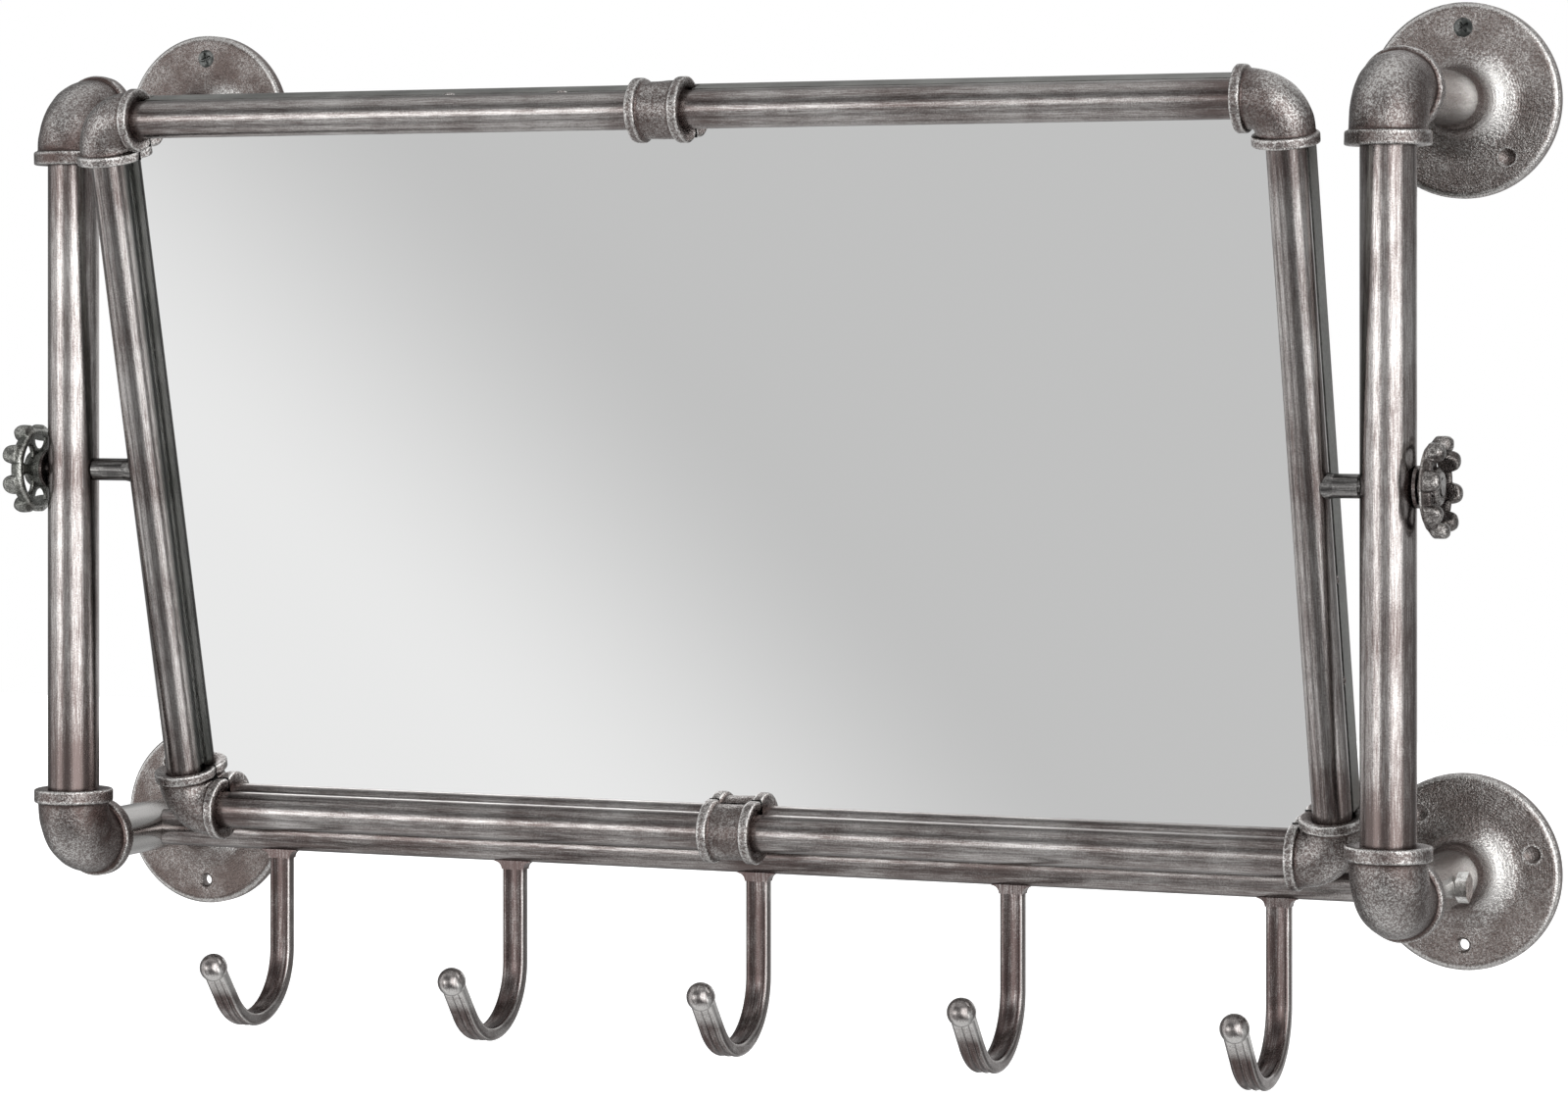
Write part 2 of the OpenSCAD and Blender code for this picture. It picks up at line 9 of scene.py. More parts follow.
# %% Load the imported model
import bpy
import json
import math
import numpy as np
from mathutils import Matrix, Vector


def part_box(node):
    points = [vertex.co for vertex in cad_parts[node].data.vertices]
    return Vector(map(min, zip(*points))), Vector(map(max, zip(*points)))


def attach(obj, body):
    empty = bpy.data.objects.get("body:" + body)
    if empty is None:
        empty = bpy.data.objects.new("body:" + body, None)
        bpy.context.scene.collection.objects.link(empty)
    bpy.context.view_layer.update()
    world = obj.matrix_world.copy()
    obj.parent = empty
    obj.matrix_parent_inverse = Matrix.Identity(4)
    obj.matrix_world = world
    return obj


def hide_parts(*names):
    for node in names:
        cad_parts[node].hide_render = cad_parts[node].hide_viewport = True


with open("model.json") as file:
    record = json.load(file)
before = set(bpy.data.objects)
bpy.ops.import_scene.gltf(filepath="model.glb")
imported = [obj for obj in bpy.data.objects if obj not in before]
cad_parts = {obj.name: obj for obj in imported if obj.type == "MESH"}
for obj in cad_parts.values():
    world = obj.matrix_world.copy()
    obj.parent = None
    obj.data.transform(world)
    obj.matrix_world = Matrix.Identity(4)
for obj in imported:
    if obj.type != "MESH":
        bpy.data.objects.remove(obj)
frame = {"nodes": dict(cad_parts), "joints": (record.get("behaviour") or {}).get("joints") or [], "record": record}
nodes, record = frame["nodes"], frame["record"]
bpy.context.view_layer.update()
print("solids loaded:", len(nodes))

# %% [markdown]
# ## Sizes that pieces and finishes refer to
# A finish can follow the form when it knows where the form is, and so can a new piece. These are the
# few lengths that they share: the axes of arms and frame tubes, the fittings' reach, and the place
# and lean of the mirror frame. The frame's place is read off its joint, so it can't disagree with it.

# %% Sizes in metres
MM = 0.001
tilt = next(j for j in frame["joints"] if j["name"] == "mirror_tilt")
PIVOT = np.array(tilt["pos_m"])
STANDOFF = -PIVOT[1]
POST_X, ARM_Z = 708.5 / 2 * MM, 381 / 2 * MM     # the arms' axes, out from the middle
FRAME_W, FRAME_H = 626 * MM, 370.4 * MM          # between the axes of the frame's tubes
FRAME_SHIFT = 3.2 * MM                           # the frame hangs this far right of the middle
LEAN = math.radians(13.7)                        # its top comes forward by this angle
POST_REACH, FRAME_REACH = 27.5 * MM, 21.8 * MM   # from an elbow's corner to its mouths
COUPLING_LENGTH = 28 * MM
HUB_R, PLATE_R = 15.2 * MM, 48.5 * MM            # of a wall flange
SCREW_CIRCLE = 36 * MM
MARKS = (106, 218)                               # degrees round the flange from its screw hole
print("pivot axis through", PIVOT.round(4), "posts at x = +-", round(POST_X, 4))

# %% Places on the leaning frame
ACROSS = np.array([1.0, 0, 0])
UP = np.array([0, -math.sin(LEAN), math.cos(LEAN)])
BEHIND = np.array([0, math.cos(LEAN), math.sin(LEAN)])
MIDDLE = PIVOT + FRAME_SHIFT * ACROSS


def on_frame(x, y, z):
    """The point x along the wall, y behind the tubes' axes and z up the leaning frame."""
    return MIDDLE + x * ACROSS + y * BEHIND + z * UP


print("upper right corner of the frame:", on_frame(FRAME_W / 2, 0, FRAME_H / 2).round(4))

# %% [markdown]
# ## Camera
# The photograph is taken from the right, level, with a long lens. Its upright lines stay parallel,
# which a level camera gives only when the frame is shifted down instead of the camera being tipped.
# Position, turn and lens come from matching tube edges and flange outlines to the photograph.

# %% Camera
camera_data = bpy.data.cameras.new("camera")
camera_data.sensor_width = 36
camera_data.lens = 107.56
camera_data.shift_y = -0.1424
camera = bpy.data.objects.new("camera", camera_data)
camera.location = (0.93209, -2.27100, 0.07925)
camera.rotation_euler = (math.pi / 2, 0, math.radians(22.56))
bpy.context.scene.collection.objects.link(camera)
bpy.context.scene.camera = camera
bpy.context.scene.view_settings.view_transform = "Standard"
print("camera at", tuple(camera.location), "lens", camera_data.lens)

# %% [markdown]
# ## A small language for finishes
# A finish is a network of nodes. Written out link by link it hides its own arithmetic, so a socket
# is wrapped in a class that knows +, -, * and /: `1 - mask` then adds the Math node by itself.
# Any other node comes from one method that takes its type, its settings and its sockets.

# %% Wires
def sign(operation, flip=False):
    """The method behind an arithmetic sign: one Math node. flip puts the other value first."""
    def method(wire, other):
        return wire.math(operation, other, flip=flip)
    return method


class Wire:
    """One output socket. An operator adds one Math node and gives its output as a new Wire."""

    def __init__(self, finish, socket):
        self.finish, self.socket = finish, socket

    def math(self, operation, *others, flip=False, clamp=False):
        values = [self, *others][::-1] if flip else [self, *others]
        settings = {"operation": operation, "use_clamp": clamp}
        return self.finish.node("ShaderNodeMath", settings, dict(enumerate(values)))

    __add__, __radd__ = sign("ADD"), sign("ADD", flip=True)
    __sub__, __rsub__ = sign("SUBTRACT"), sign("SUBTRACT", flip=True)
    __mul__, __rmul__ = sign("MULTIPLY"), sign("MULTIPLY", flip=True)
    __truediv__, __rtruediv__ = sign("DIVIDE"), sign("DIVIDE", flip=True)

    def __abs__(self):
        return self.math("ABSOLUTE")

    def clamped(self):
        return self.math("MULTIPLY", 1.0, clamp=True)

    def step(self, low, high):
        """0 below low, 1 above high, a smooth S between them. low above high turns it round."""
        if low > high:
            return 1 - self.step(high, low)
        return self.finish.node("ShaderNodeMapRange", {"interpolation_type": "SMOOTHSTEP"},
                                {"Value": self, "From Min": low, "From Max": high})


def distance(a, b):
    """sqrt(a * a + b * b) of two Wires."""
    return (a * a + b * b).math("SQRT")


print("wires ready")

# %% Finishes
class Finish:
    """A node tree, for a material or the world, that is filled by node()."""

    def __init__(self, tree):
        self.tree = tree
        self.tree.nodes.clear()

    def node(self, kind, settings=None, sockets=None, out=0):
        """A node with its settings, and with a value or a Wire for each of its sockets."""
        made = self.tree.nodes.new(kind)
        for name, value in (settings or {}).items():
            setattr(made, name, value)
        for name, value in (sockets or {}).items():
            if isinstance(value, Wire):
                self.tree.links.new(value.socket, made.inputs[name])
            else:
                made.inputs[name].default_value = value
        return Wire(self, made.outputs[out]) if made.outputs else made

    def place(self, centre=(0, 0, 0), turn=(0, 0, 0)):
        """Object coordinates, moved so that centre is the origin and then turned."""
        here = self.node("ShaderNodeTexCoord", out="Object")
        moved = self.node("ShaderNodeMapping", None,
                          {"Vector": here, "Location": tuple(-c for c in centre)})
        return self.node("ShaderNodeMapping", None, {"Vector": moved, "Rotation": turn})

    def stretch(self, vector, scale):
        return self.node("ShaderNodeVectorMath", {"operation": "MULTIPLY"}, {0: vector, 1: scale})

    def split(self, vector):
        """The three parts of a vector as Wires."""
        made = self.node("ShaderNodeSeparateXYZ", None, {"Vector": vector})
        return [Wire(self, s) for s in made.socket.node.outputs]

    def painted(self, name):
        """A value that was stored at the points of a mesh."""
        return self.node("ShaderNodeAttribute", {"attribute_name": name}, out="Fac")

    def noise(self, vector, scale, detail, rough):
        sockets = {"Vector": vector, "Scale": scale, "Detail": detail, "Roughness": rough}
        return self.node("ShaderNodeTexNoise", None, sockets)

    def mix(self, a, b, share):
        """Colour a where share is 0 and b where it is 1. Each is three numbers or a Wire."""
        a, b = (c if isinstance(c, Wire) else (*c, 1.0) for c in (a, b))
        return self.node("ShaderNodeMix", {"data_type": "RGBA"}, {0: share, 6: a, 7: b}, 2)

    def bump(self, height, strength, distance):
        return self.node("ShaderNodeBump", None,
                         {"Height": height, "Strength": strength, "Distance": distance})


def surface(finish, **sockets):
    """Ends a material finish with a Principled shader; underscores in names stand for spaces."""
    named = {name.replace("_", " "): value for name, value in sockets.items()}
    shader = finish.node("ShaderNodeBsdfPrincipled", None, named)
    finish.node("ShaderNodeOutputMaterial", None, {"Surface": shader})


def new_finish(name):
    material = bpy.data.materials.new(name)
    material.use_nodes = True
    return material, Finish(material.node_tree)


print("finish helpers ready")

# %% [markdown]
# ## Studio
# Metal and mirror show the room rather than a colour of their own, so the room is part of the look.
# The photograph's highlights tell where its lights stood: a tall soft light to the right of the
# camera, a smaller one to the left, dim sides, and a pale backdrop behind. The mirror leans towards
# the floor, and the grey it shows runs from pale at the lower left to darker at the upper right,
# so that part of the room is a slanting ramp. All of it is a function of direction in the world.

# %% World
world = bpy.data.worlds.new("studio")
bpy.context.scene.world = world
world.use_nodes = True
room = Finish(world.node_tree)
dx, dy, dz = room.split(room.node("ShaderNodeTexCoord", out="Generated"))
DEGREES = 180 / math.pi
turn = dx.math("ARCTAN2", 0 - dy) * DEGREES      # 0 straight out from the wall, + to the right
rise = dz.math("ARCSINE") * DEGREES              # 0 level, + up


def soft_light(middle, half, soft, low, high, edge):
    """A light patch: half degrees to each side of middle, from low to high, with soft edges."""
    across = abs(turn - middle).step(half + soft, half)
    return across * rise.step(low - edge, low + edge) * rise.step(high + edge, high - edge)


AMBIENT = 0.25
KEY_SLANT = 0.80                                 # degrees to the right for each degree down
key = soft_light(44 - rise.math("MINIMUM", 0) * KEY_SLANT, 18, 12, -32, 38, 12)
lights = {"key": (key * (1 - rise.step(-2, -26) * 0.52), 2.6),
          "fill": (soft_light(-34, 9, 10, -10, 10, 10), 2.5),
          "front": (soft_light(-5, 40, 25, -8, 20, 12), 0.46),
          "side": (soft_light(-72, 12, 10, -50, 50, 15), 0.8),
          "beside": (soft_light(104, 14, 16, -40, 40, 20), 0.22),
          "above": (rise.step(35, 72), 0.60),
          "below": (rise.step(-35, -62), 0.50),
          "backdrop": (abs(turn).step(148, 168) * rise.step(-40, -15) * rise.step(60, 35), 0.55)}
open_room = sum((light * strength for light, strength in lights.values()), AMBIENT)
print("room with lights:", ", ".join(lights))

# %% What the mirror shows
RAMP_TURN, RAMP_RISE = -0.819, -0.573            # the ramp's direction, over turn and rise
DARK_END, PALE_GAIN = 0.59, 0.315
slant = turn * RAMP_TURN + rise * RAMP_RISE
ramp = DARK_END + slant.step(36.2, 41.6) * PALE_GAIN
in_mirror = soft_light(-27, 11, 7, -39, -17, 4)
room_light = open_room * (1 - in_mirror) + ramp * in_mirror
rays = room.node("ShaderNodeLightPath", out="Is Camera Ray")
through = room.node("ShaderNodeLightPath", out="Is Transmission Ray")
WHITE = (1, 1, 1, 1)
plain = room.node("ShaderNodeBackground", None, {"Color": WHITE, "Strength": 1.0})
lit = room.node("ShaderNodeBackground", None, {"Color": WHITE, "Strength": room_light})
seen = room.node("ShaderNodeMixShader", None, {0: rays.math("MAXIMUM", through), 1: lit, 2: plain})
room.node("ShaderNodeOutputWorld", None, {"Surface": seen})
print("world: plain white to the camera, the room and the ramp to metal and mirror")

# %% [markdown]
# ## Floor
# The mirror hangs above a pale floor. It is far enough below that only a soft shade of the object
# reaches it. To the camera it is as white as the backdrop, apart from that shade, and to the mirror
# and the metal it gives way to the ramp of the room, so that its edge is never seen in them.

# %% Floor
FLOOR_Z, FLOOR_HALF, FLOOR_WHITE = -0.95, 9, 0.80
corners = [(x * FLOOR_HALF, y * FLOOR_HALF, FLOOR_Z) for x, y in ((-1, -1), (1, -1), (1, 1), (-1, 1))]
floor_mesh = bpy.data.meshes.new("floor")
floor_mesh.from_pydata(corners, [], [(0, 1, 2, 3)])
floor = bpy.data.objects.new("floor", floor_mesh)
bpy.context.scene.collection.objects.link(floor)
material, finish = new_finish("floor_white")
shade = finish.node("ShaderNodeBsdfDiffuse", None, {"Color": (FLOOR_WHITE, FLOOR_WHITE, FLOOR_WHITE, 1)})
glow = finish.node("ShaderNodeEmission", None, {"Color": WHITE, "Strength": FLOOR_WHITE})
both = finish.node("ShaderNodeAddShader", None, {0: shade, 1: glow})
ray = finish.node("ShaderNodeLightPath", out="Is Camera Ray")
mirrored = finish.node("ShaderNodeLightPath", out="Is Glossy Ray")
clear = finish.node("ShaderNodeBsdfTransparent")
seen = finish.node("ShaderNodeMixShader", None, {0: ray, 1: shade, 2: both})
floor_look = finish.node("ShaderNodeMixShader", None, {0: mirrored, 1: seen, 2: clear})
finish.node("ShaderNodeOutputMaterial", None, {"Surface": floor_look})
floor_mesh.materials.append(material)
print("floor at z =", FLOOR_Z)

# %% [markdown]
# ## Rubbed steel
# The tubes are painted a dark purple brown and rubbed with silver along their length, so the silver
# lies in long thin streaks with dark grain between. A picture of streaks would need unwrapping;
# noise that is squeezed across the tube and drawn out along it needs only the tube's own axes.

# %% Rubbed steel
# The last of these colours is a painted shade for the backs of the side tubes, next to the glass.
BROWN, SILVER, BACK_SHADE_COLOUR = (0.135, 0.106, 0.100), (0.60, 0.584, 0.571), (0.035, 0.036, 0.033)
MISSED_END, MISSED_MIDDLE = 38 * MM, 24 * MM     # the cloth starts to lift this far from a fitting
TUBE_ROUGH, SILVER_SHARE = 0.25, 0.86


def rubbed_steel(name, axis, centre=(0, 0, 0), lean=0.0, cover=0.0, behind=1.0, ends=9.0,
                 middle=0.0, paint=BROWN, low=0.0):
    """Steel rubbed along one axis (0 x, 1 y, 2 z). cover above 0 leaves more silver on the paint. Past
    the distance behind, towards the glass, the back of the tube is painted in shade: little silver and
    a near-black colour. The cloth misses the last stretch before a fitting, which stands at the
    distance ends from the centre, and a stretch at the centre, where a fitting has the half length
    middle. low takes silver off the lower half, a painted shade where less light reaches it."""
    material, finish = new_finish(name)
    here = finish.place(centre, (-lean, 0, 0))
    parts = finish.split(here)

    def streaks(across, along):
        scale = [across] * 3
        scale[axis] = along
        return finish.noise(finish.stretch(here, tuple(scale)), 1.0, 3, 0.6)

    fine, broad = streaks(1500, 90), streaks(700, 24)
    patch = finish.noise(here, 24, 3, 0.55)
    grain = finish.noise(here, 1400, 2, 0.6)
    # Painted shade: past the distance behind, towards the glass, the tube keeps little silver and turns nearly
    # black.
    back_shade = parts[1].step(behind, behind + 6 * MM)
    run = abs(parts[axis])
    missed = run.step(ends - MISSED_END, ends - 4 * MM) + run.step(middle + MISSED_MIDDLE, middle)
    streaked = fine * 0.40 + broad * 0.20 + patch * 0.40 + (grain - 0.5) * 0.26
    # low is a painted shade: less silver on the lower half, where less light falls.
    mixed = streaked + cover - missed * 0.10 - parts[2].step(0.02, -0.10) * low
    rub = mixed.step(0.30, 0.68) * (1 - back_shade * 0.85)
    surface(finish, Base_Color=finish.mix(finish.mix(paint, BACK_SHADE_COLOUR, back_shade), SILVER, rub * SILVER_SHARE),
            Metallic=1.0, Roughness=TUBE_ROUGH - rub * 0.08 + (grain - 0.5) * 0.12,
            Normal=finish.bump(fine * 0.5 + broad * 0.3 + grain * 0.6, 0.45, 0.14 * MM))
    return material


# The posts' lower halves carry a painted shade through low.
post_metal = rubbed_steel("post_steel", 2, ends=ARM_Z - POST_REACH, low=0.09)
arm_metal = rubbed_steel("arm_steel", 1, cover=0.20, paint=(0.20, 0.20, 0.185))
rail_metal = rubbed_steel("rail_steel", 0, cover=-0.08)
stud_metal = rubbed_steel("stud_steel", 0, PIVOT, cover=-0.06, paint=(0.085, 0.082, 0.080))
# The side tubes' backs are painted in shade from these distances behind their axes.
side_left_metal, side_right_metal = (
    rubbed_steel(f"side_{side}_steel", 2, PIVOT, LEAN, behind=behind, ends=FRAME_H / 2 - FRAME_REACH)
    for side, behind in (("left", -6 * MM), ("right", -1 * MM)))
cross_metal = rubbed_steel("cross_steel", 0, MIDDLE, LEAN, ends=FRAME_W / 2 - FRAME_REACH,
                           middle=COUPLING_LENGTH / 2)
print("rubbed steel for posts, arms, rail, studs, side tubes and cross tubes")

# %% [markdown]
# ## Cast iron
# The fittings are sand castings under the same paint. Their skin is lumpy at 2 mm and grainy below
# that, the paint stays dark in the pits and silver catches on the tops, and every rim is rubbed
# bright. Noise gives the skin. Where a rim lies is a matter of the form, so new pieces carry it as a
# value at their points, named rub, and the carried-over solids work it out from their place.

# %% Cast iron
def cast_iron(name, wear=None, dark=(0.100, 0.071, 0.065), light=(0.66, 0.645, 0.63), rough=0.28,
              cover=0.0, left=0.0, rings=None, depth=0.7 * MM, lump=620, fine=1150):
    """Cast skin. cover adds silver everywhere and left takes it off towards the left of the wall.
    wear and rings are functions of (finish, object coordinates) that give the wear, on the flanges
    with painted highlight and shade, instead of the stored rub and dull, and more height for the bumps."""
    material, finish = new_finish(name)
    here = finish.place()
    lumpy = finish.noise(here, lump, 3, 0.62)
    grain = finish.noise(here, fine, 3, 0.65)
    cloud = finish.noise(here, 55, 3, 0.55)
    height = lumpy * 0.5 + grain * 0.5
    if rings is not None:
        height = height + rings(finish, here)
    speckle = (grain * 0.65 + lumpy * 0.35).step(0.43, 0.60)
    # On the flanges this carries painted highlight and painted shade as well as wear.
    worn_and_lit = finish.painted("rub") if wear is None else wear(finish, here)
    often = cloud.step(0.38, 0.64) * 0.24 + 0.09 + cover - finish.split(here)[0].step(0.1, -0.1) * left
    rub = often * (0.26 + speckle * 1.50) + worn_and_lit * (0.22 + worn_and_lit * 0.36 + speckle * 1.35)
    if wear is None:
        rub = rub * (1 - finish.painted("dull"))
    rub = rub.clamped()
    surface(finish, Base_Color=finish.mix(dark, light, rub), Metallic=1.0,
            Roughness=rough - rub * 0.05 + (grain - 0.5) * 0.16,
            Normal=finish.bump(height, 0.8, depth))
    return material


fittings = {"post_fitting": cast_iron("cast_post_fitting", cover=-0.025, left=0.11),
            "frame_fitting": cast_iron("cast_frame_fitting", cover=0.04, left=-0.11)}
print("cast iron for fittings")

# %% Wear and painted light of the wall flanges
MARK_R = 4.2 * MM
TURNING = 1.3 * MM                               # between two turning marks


def arm_distance(x, z):
    """Distance from the axis of the nearest arm."""
    return distance(abs(x) - POST_X, abs(z) - ARM_Z)


def flange_wear_and_painted_light(finish, here):
    """Silver on the front edge of the plate, and a painted highlight of silver on the flare where it
    faces the light. At each mark a bright lip, rubbed and also a painted highlight, and a dark hollow
    of painted shade. A ring of painted shade where the arm enters the hub."""
    x, y, z = finish.split(here)
    r = arm_distance(x, z)
    edge = r.step(PLATE_R - 2.7 * MM, PLATE_R - 1.3 * MM) * y.step(-4.4 * MM, -5.4 * MM)
    beside = x - (x.math("SIGN") * POST_X)
    flare = r.step(HUB_R - 0.6 * MM, HUB_R + 1.6 * MM) * r.step(HUB_R + 14.8 * MM, HUB_R + 5.3 * MM)
    # Painted highlight: silver on the side of the flare that faces the light.
    lit = (beside / r).step(0.20, 0.90) * flare
    # Painted shade: a darker ring where the arm enters the hub, on the neck as well.
    value = edge + lit * 1.15 - r.step(HUB_R + 1.4 * MM, HUB_R - 0.2 * MM) * 0.25
    value = value - r.step(PLATE_R - 0.6 * MM, PLATE_R - 0.2 * MM) * 0.5
    level = z.math("SIGN")
    for angle in map(math.radians, MARKS):
        # the marks are turned the same way round each flange, as seen from the front
        d = distance(beside * level + math.sin(angle) * SCREW_CIRCLE,
                     abs(z) - ARM_Z - math.cos(angle) * SCREW_CIRCLE)
        # Painted highlight on each mark's lip, which is also rubbed, and painted shade in its hollow.
        lip = d.step(MARK_R - 0.3 * MM, MARK_R + 0.3 * MM) * d.step(MARK_R + 1.4 * MM, MARK_R + 0.6 * MM)
        value = value + lip * 0.60 - d.step(MARK_R, MARK_R - 0.8 * MM) * 0.15
    return value


def flange_rings(finish, here):
    """The fine turning marks round the arm, broken up by noise, the roll of the plate's front edge,
    which falls away over its last 3 mm, and a flare that opens a little wider."""
    x, y, z = finish.split(here)
    r = arm_distance(x, z)
    wavy = r + finish.noise(here, 60, 2, 0.5) * (1.6 * MM)
    broken = finish.noise(here, 120, 3, 0.6).step(0.40, 0.62)
    turned = (wavy * (2 * math.pi / TURNING)).math("SINE") * broken
    roll = r.step(PLATE_R - 3.5 * MM, PLATE_R + 0.1 * MM)
    return turned * 0.06 - roll * 1.7 + r.step(HUB_R + 0.1 * MM, HUB_R + 10.8 * MM) * 4.0


flange_metal = cast_iron("cast_flange", flange_wear_and_painted_light, (0.140, 0.108, 0.099), cover=0.10, left=0.14,
                         rings=flange_rings, depth=0.9 * MM)
print("cast iron for flanges, worn at", len(MARKS), "marks each")

# %% [markdown]
# ## Hooks
# Each hook is a fluted flat bar bent to a J. Its paint is browner than the tubes', the bar's long
# corners are rubbed to a bright line, and the curl and the ball at its tip are paler from use. The
# corners could be painted by hand. Working out how deep a point lies in the bar, along the stem,
# round the bend and along the tip, finds them on all five hooks at once.

# %% Place in a hook's bar
HOOK_PITCH, HOOK_SHIFT, HOOK_HALF = 137.8 * MM, 2.7 * MM, 6.25 * MM
STEM_Y, BEND_Y, BEND_Z, BEND_R = 67.7 * MM, 100.7 * MM, 252 * MM, 33 * MM
BENT = math.radians(142)                         # by the bend, after which the tip runs straight
TIP_SIN, TIP_COS = math.sin(BENT), -math.cos(BENT)
TIP_Y, TIP_Z = BEND_Y + BEND_R * TIP_COS, BEND_Z + BEND_R * TIP_SIN


def beside_bar(x):
    """Distance from the middle plane of the nearest hook."""
    cell = (x - HOOK_SHIFT) / HOOK_PITCH + 0.5
    return abs(cell.math("FRACT") - 0.5) * HOOK_PITCH


def off_centre_line(y, z):
    """Distance from the bar's centre line within the plane of the hook: from the circle of the bend,
    and from the straight lines of stem and tip where those run."""
    off = abs(distance(y + BEND_Y, z + BEND_Z) - BEND_R)
    a, b = y + TIP_Y, z + TIP_Z
    on_tip = (b * TIP_COS - a * TIP_SIN).step(-0.5 * MM, 0.5 * MM) * y.step(-110 * MM, -112 * MM)
    off = off + (abs(a * TIP_COS + b * TIP_SIN) - off) * on_tip
    on_stem = z.step(-252.5 * MM, -251.5 * MM) * y.step(-92 * MM, -90 * MM)
    return off + (abs(y + STEM_Y) - off) * on_stem


print("hooks every", HOOK_PITCH, "m, bent round a radius of", BEND_R)

# %% Hook metal
def hook_steel():
    """Paint with streaks along the bar, and silver on its corners, its curl, its neck and its ball."""
    material, finish = new_finish("hook_steel")
    here = finish.place()
    x, y, z = finish.split(here)
    side = beside_bar(x)
    fine = finish.noise(finish.stretch(here, (1900, 60, 60)), 1.0, 3, 0.6)
    broad = finish.noise(finish.stretch(here, (520, 28, 28)), 1.0, 3, 0.6)
    patch = finish.noise(here, 60, 3, 0.6)
    grain = finish.noise(here, 1500, 2, 0.6)
    curl = z.step(-268 * MM, -292 * MM)
    mixed = fine * 0.46 + broad * 0.22 + patch * 0.32 + (grain - 0.5) * 0.34 + curl * 0.07 - 0.12
    edge = side.step(HOOK_HALF - 1.3 * MM, HOOK_HALF - 0.4 * MM)
    edge = edge * side.step(HOOK_HALF + 1.0 * MM, HOOK_HALF + 0.4 * MM) * z.step(-203 * MM, -206.5 * MM)
    edge = edge * (0.22 + off_centre_line(y, z).step(2.2 * MM, 3.1 * MM) * 0.85)
    neck = y.step(-126 * MM, -131 * MM) * z.step(-271 * MM, -264 * MM) * z.step(-254.5 * MM, -258.5 * MM)
    ball = y.step(-132.5 * MM, -135.5 * MM) * z.step(-262.5 * MM, -260 * MM)
    silver = mixed.step(0.34, 0.68) * 0.65 + edge * (0.35 + grain) + neck * (grain + 0.15)
    rub = (silver + ball * (grain * 0.5 + 0.05)).clamped()
    surface(finish, Base_Color=finish.mix((0.105, 0.078, 0.074), (0.68, 0.665, 0.65), rub), Metallic=1.0,
            Roughness=0.26 - rub * 0.06 + (grain - 0.5) * 0.12,
            Normal=finish.bump(fine * 0.5 + broad * 0.4 + grain * 0.4, 0.5, 0.1 * MM))
    return material


hook_metal = hook_steel()
print("hook metal")

# %% [markdown]
# ## Mirror, board and tray
# The glass is silvered behind, so its face is a mirror with the faintest green of the glass itself.
# A breath of haze varies it from place to place. The tray is plain rolled sheet, greyer and
# flatter than the rubbed tubes, and the board behind the glass is dull black fibre.

# %% Mirror and board
mirror_metal, finish = new_finish("mirror_silver")
haze = finish.noise(finish.place(), 5, 2, 0.5)
tint = finish.mix((0.901, 0.903, 0.901), (0.895, 0.899, 0.896), haze)
surface(finish, Base_Color=tint, Metallic=1.0, Roughness=0.002 + haze * 0.004)

board_fibre, finish = new_finish("board_fibre")
here = finish.place()
fibre = finish.noise(finish.stretch(here, (260, 900, 1100)), 1.0, 4, 0.6)
mottle = finish.noise(here, 35, 4, 0.6)
tint = finish.mix((0.020, 0.019, 0.018), (0.055, 0.050, 0.046), fibre * 0.6 + mottle * 0.4)
surface(finish, Base_Color=tint, Roughness=0.72 + (mottle - 0.5) * 0.2,
        Normal=finish.bump(fibre, 0.4, 0.1 * MM))
print("mirror and board finishes")

# %% Tray, bolts and washers
tray_sheet, finish = new_finish("tray_sheet")
here = finish.place(PIVOT, (-LEAN, 0, 0))
rolled = finish.noise(finish.stretch(here, (26, 700, 700)), 1.0, 3, 0.6)
mill = finish.noise(here, 30, 4, 0.6)
grain = finish.noise(here, 1900, 2, 0.6)
tone = (rolled * 0.3 + mill * 0.5 + grain * 0.2).step(0.38, 0.64)
surface(finish, Base_Color=finish.mix((0.20, 0.20, 0.19), (0.36, 0.365, 0.35), tone), Metallic=1.0,
        Roughness=0.46 + (mill - 0.5) * 0.18 + (grain - 0.5) * 0.10,
        Normal=finish.bump(grain * 0.6 + rolled * 0.4, 0.25, 0.08 * MM))

bolt_metal, finish = new_finish("bolt_steel")
here = finish.place()
scuff = finish.noise(here, 260, 3, 0.55)
grain = finish.noise(here, 1300, 2, 0.6)
tone = (scuff * 0.6 + grain * 0.4).step(0.43, 0.57)
surface(finish, Base_Color=finish.mix((0.52, 0.51, 0.49), (0.93, 0.92, 0.90), tone), Metallic=1.0,
        Roughness=0.13 + (grain - 0.5) * 0.08, Normal=finish.bump(scuff, 0.12, 0.1 * MM))


def washer_wear(finish, here):
    return finish.noise(here, 300, 2, 0.5) * 0.1


washer_metal = cast_iron("washer_steel", washer_wear, depth=0.3 * MM)
print("tray, bolt and washer finishes")

# %% [markdown]
# ## Surfaces from arrays
# The elbows and couplings are castings with rounded beads and a skin that isn't quite true. A solid
# of exact cylinders can't show that, so they are drawn again as surfaces: one cross-section is
# carried along the centre line of the fitting and closed into a skin. Whole arrays of points are
# made at once, the rows along the path and the columns round it.

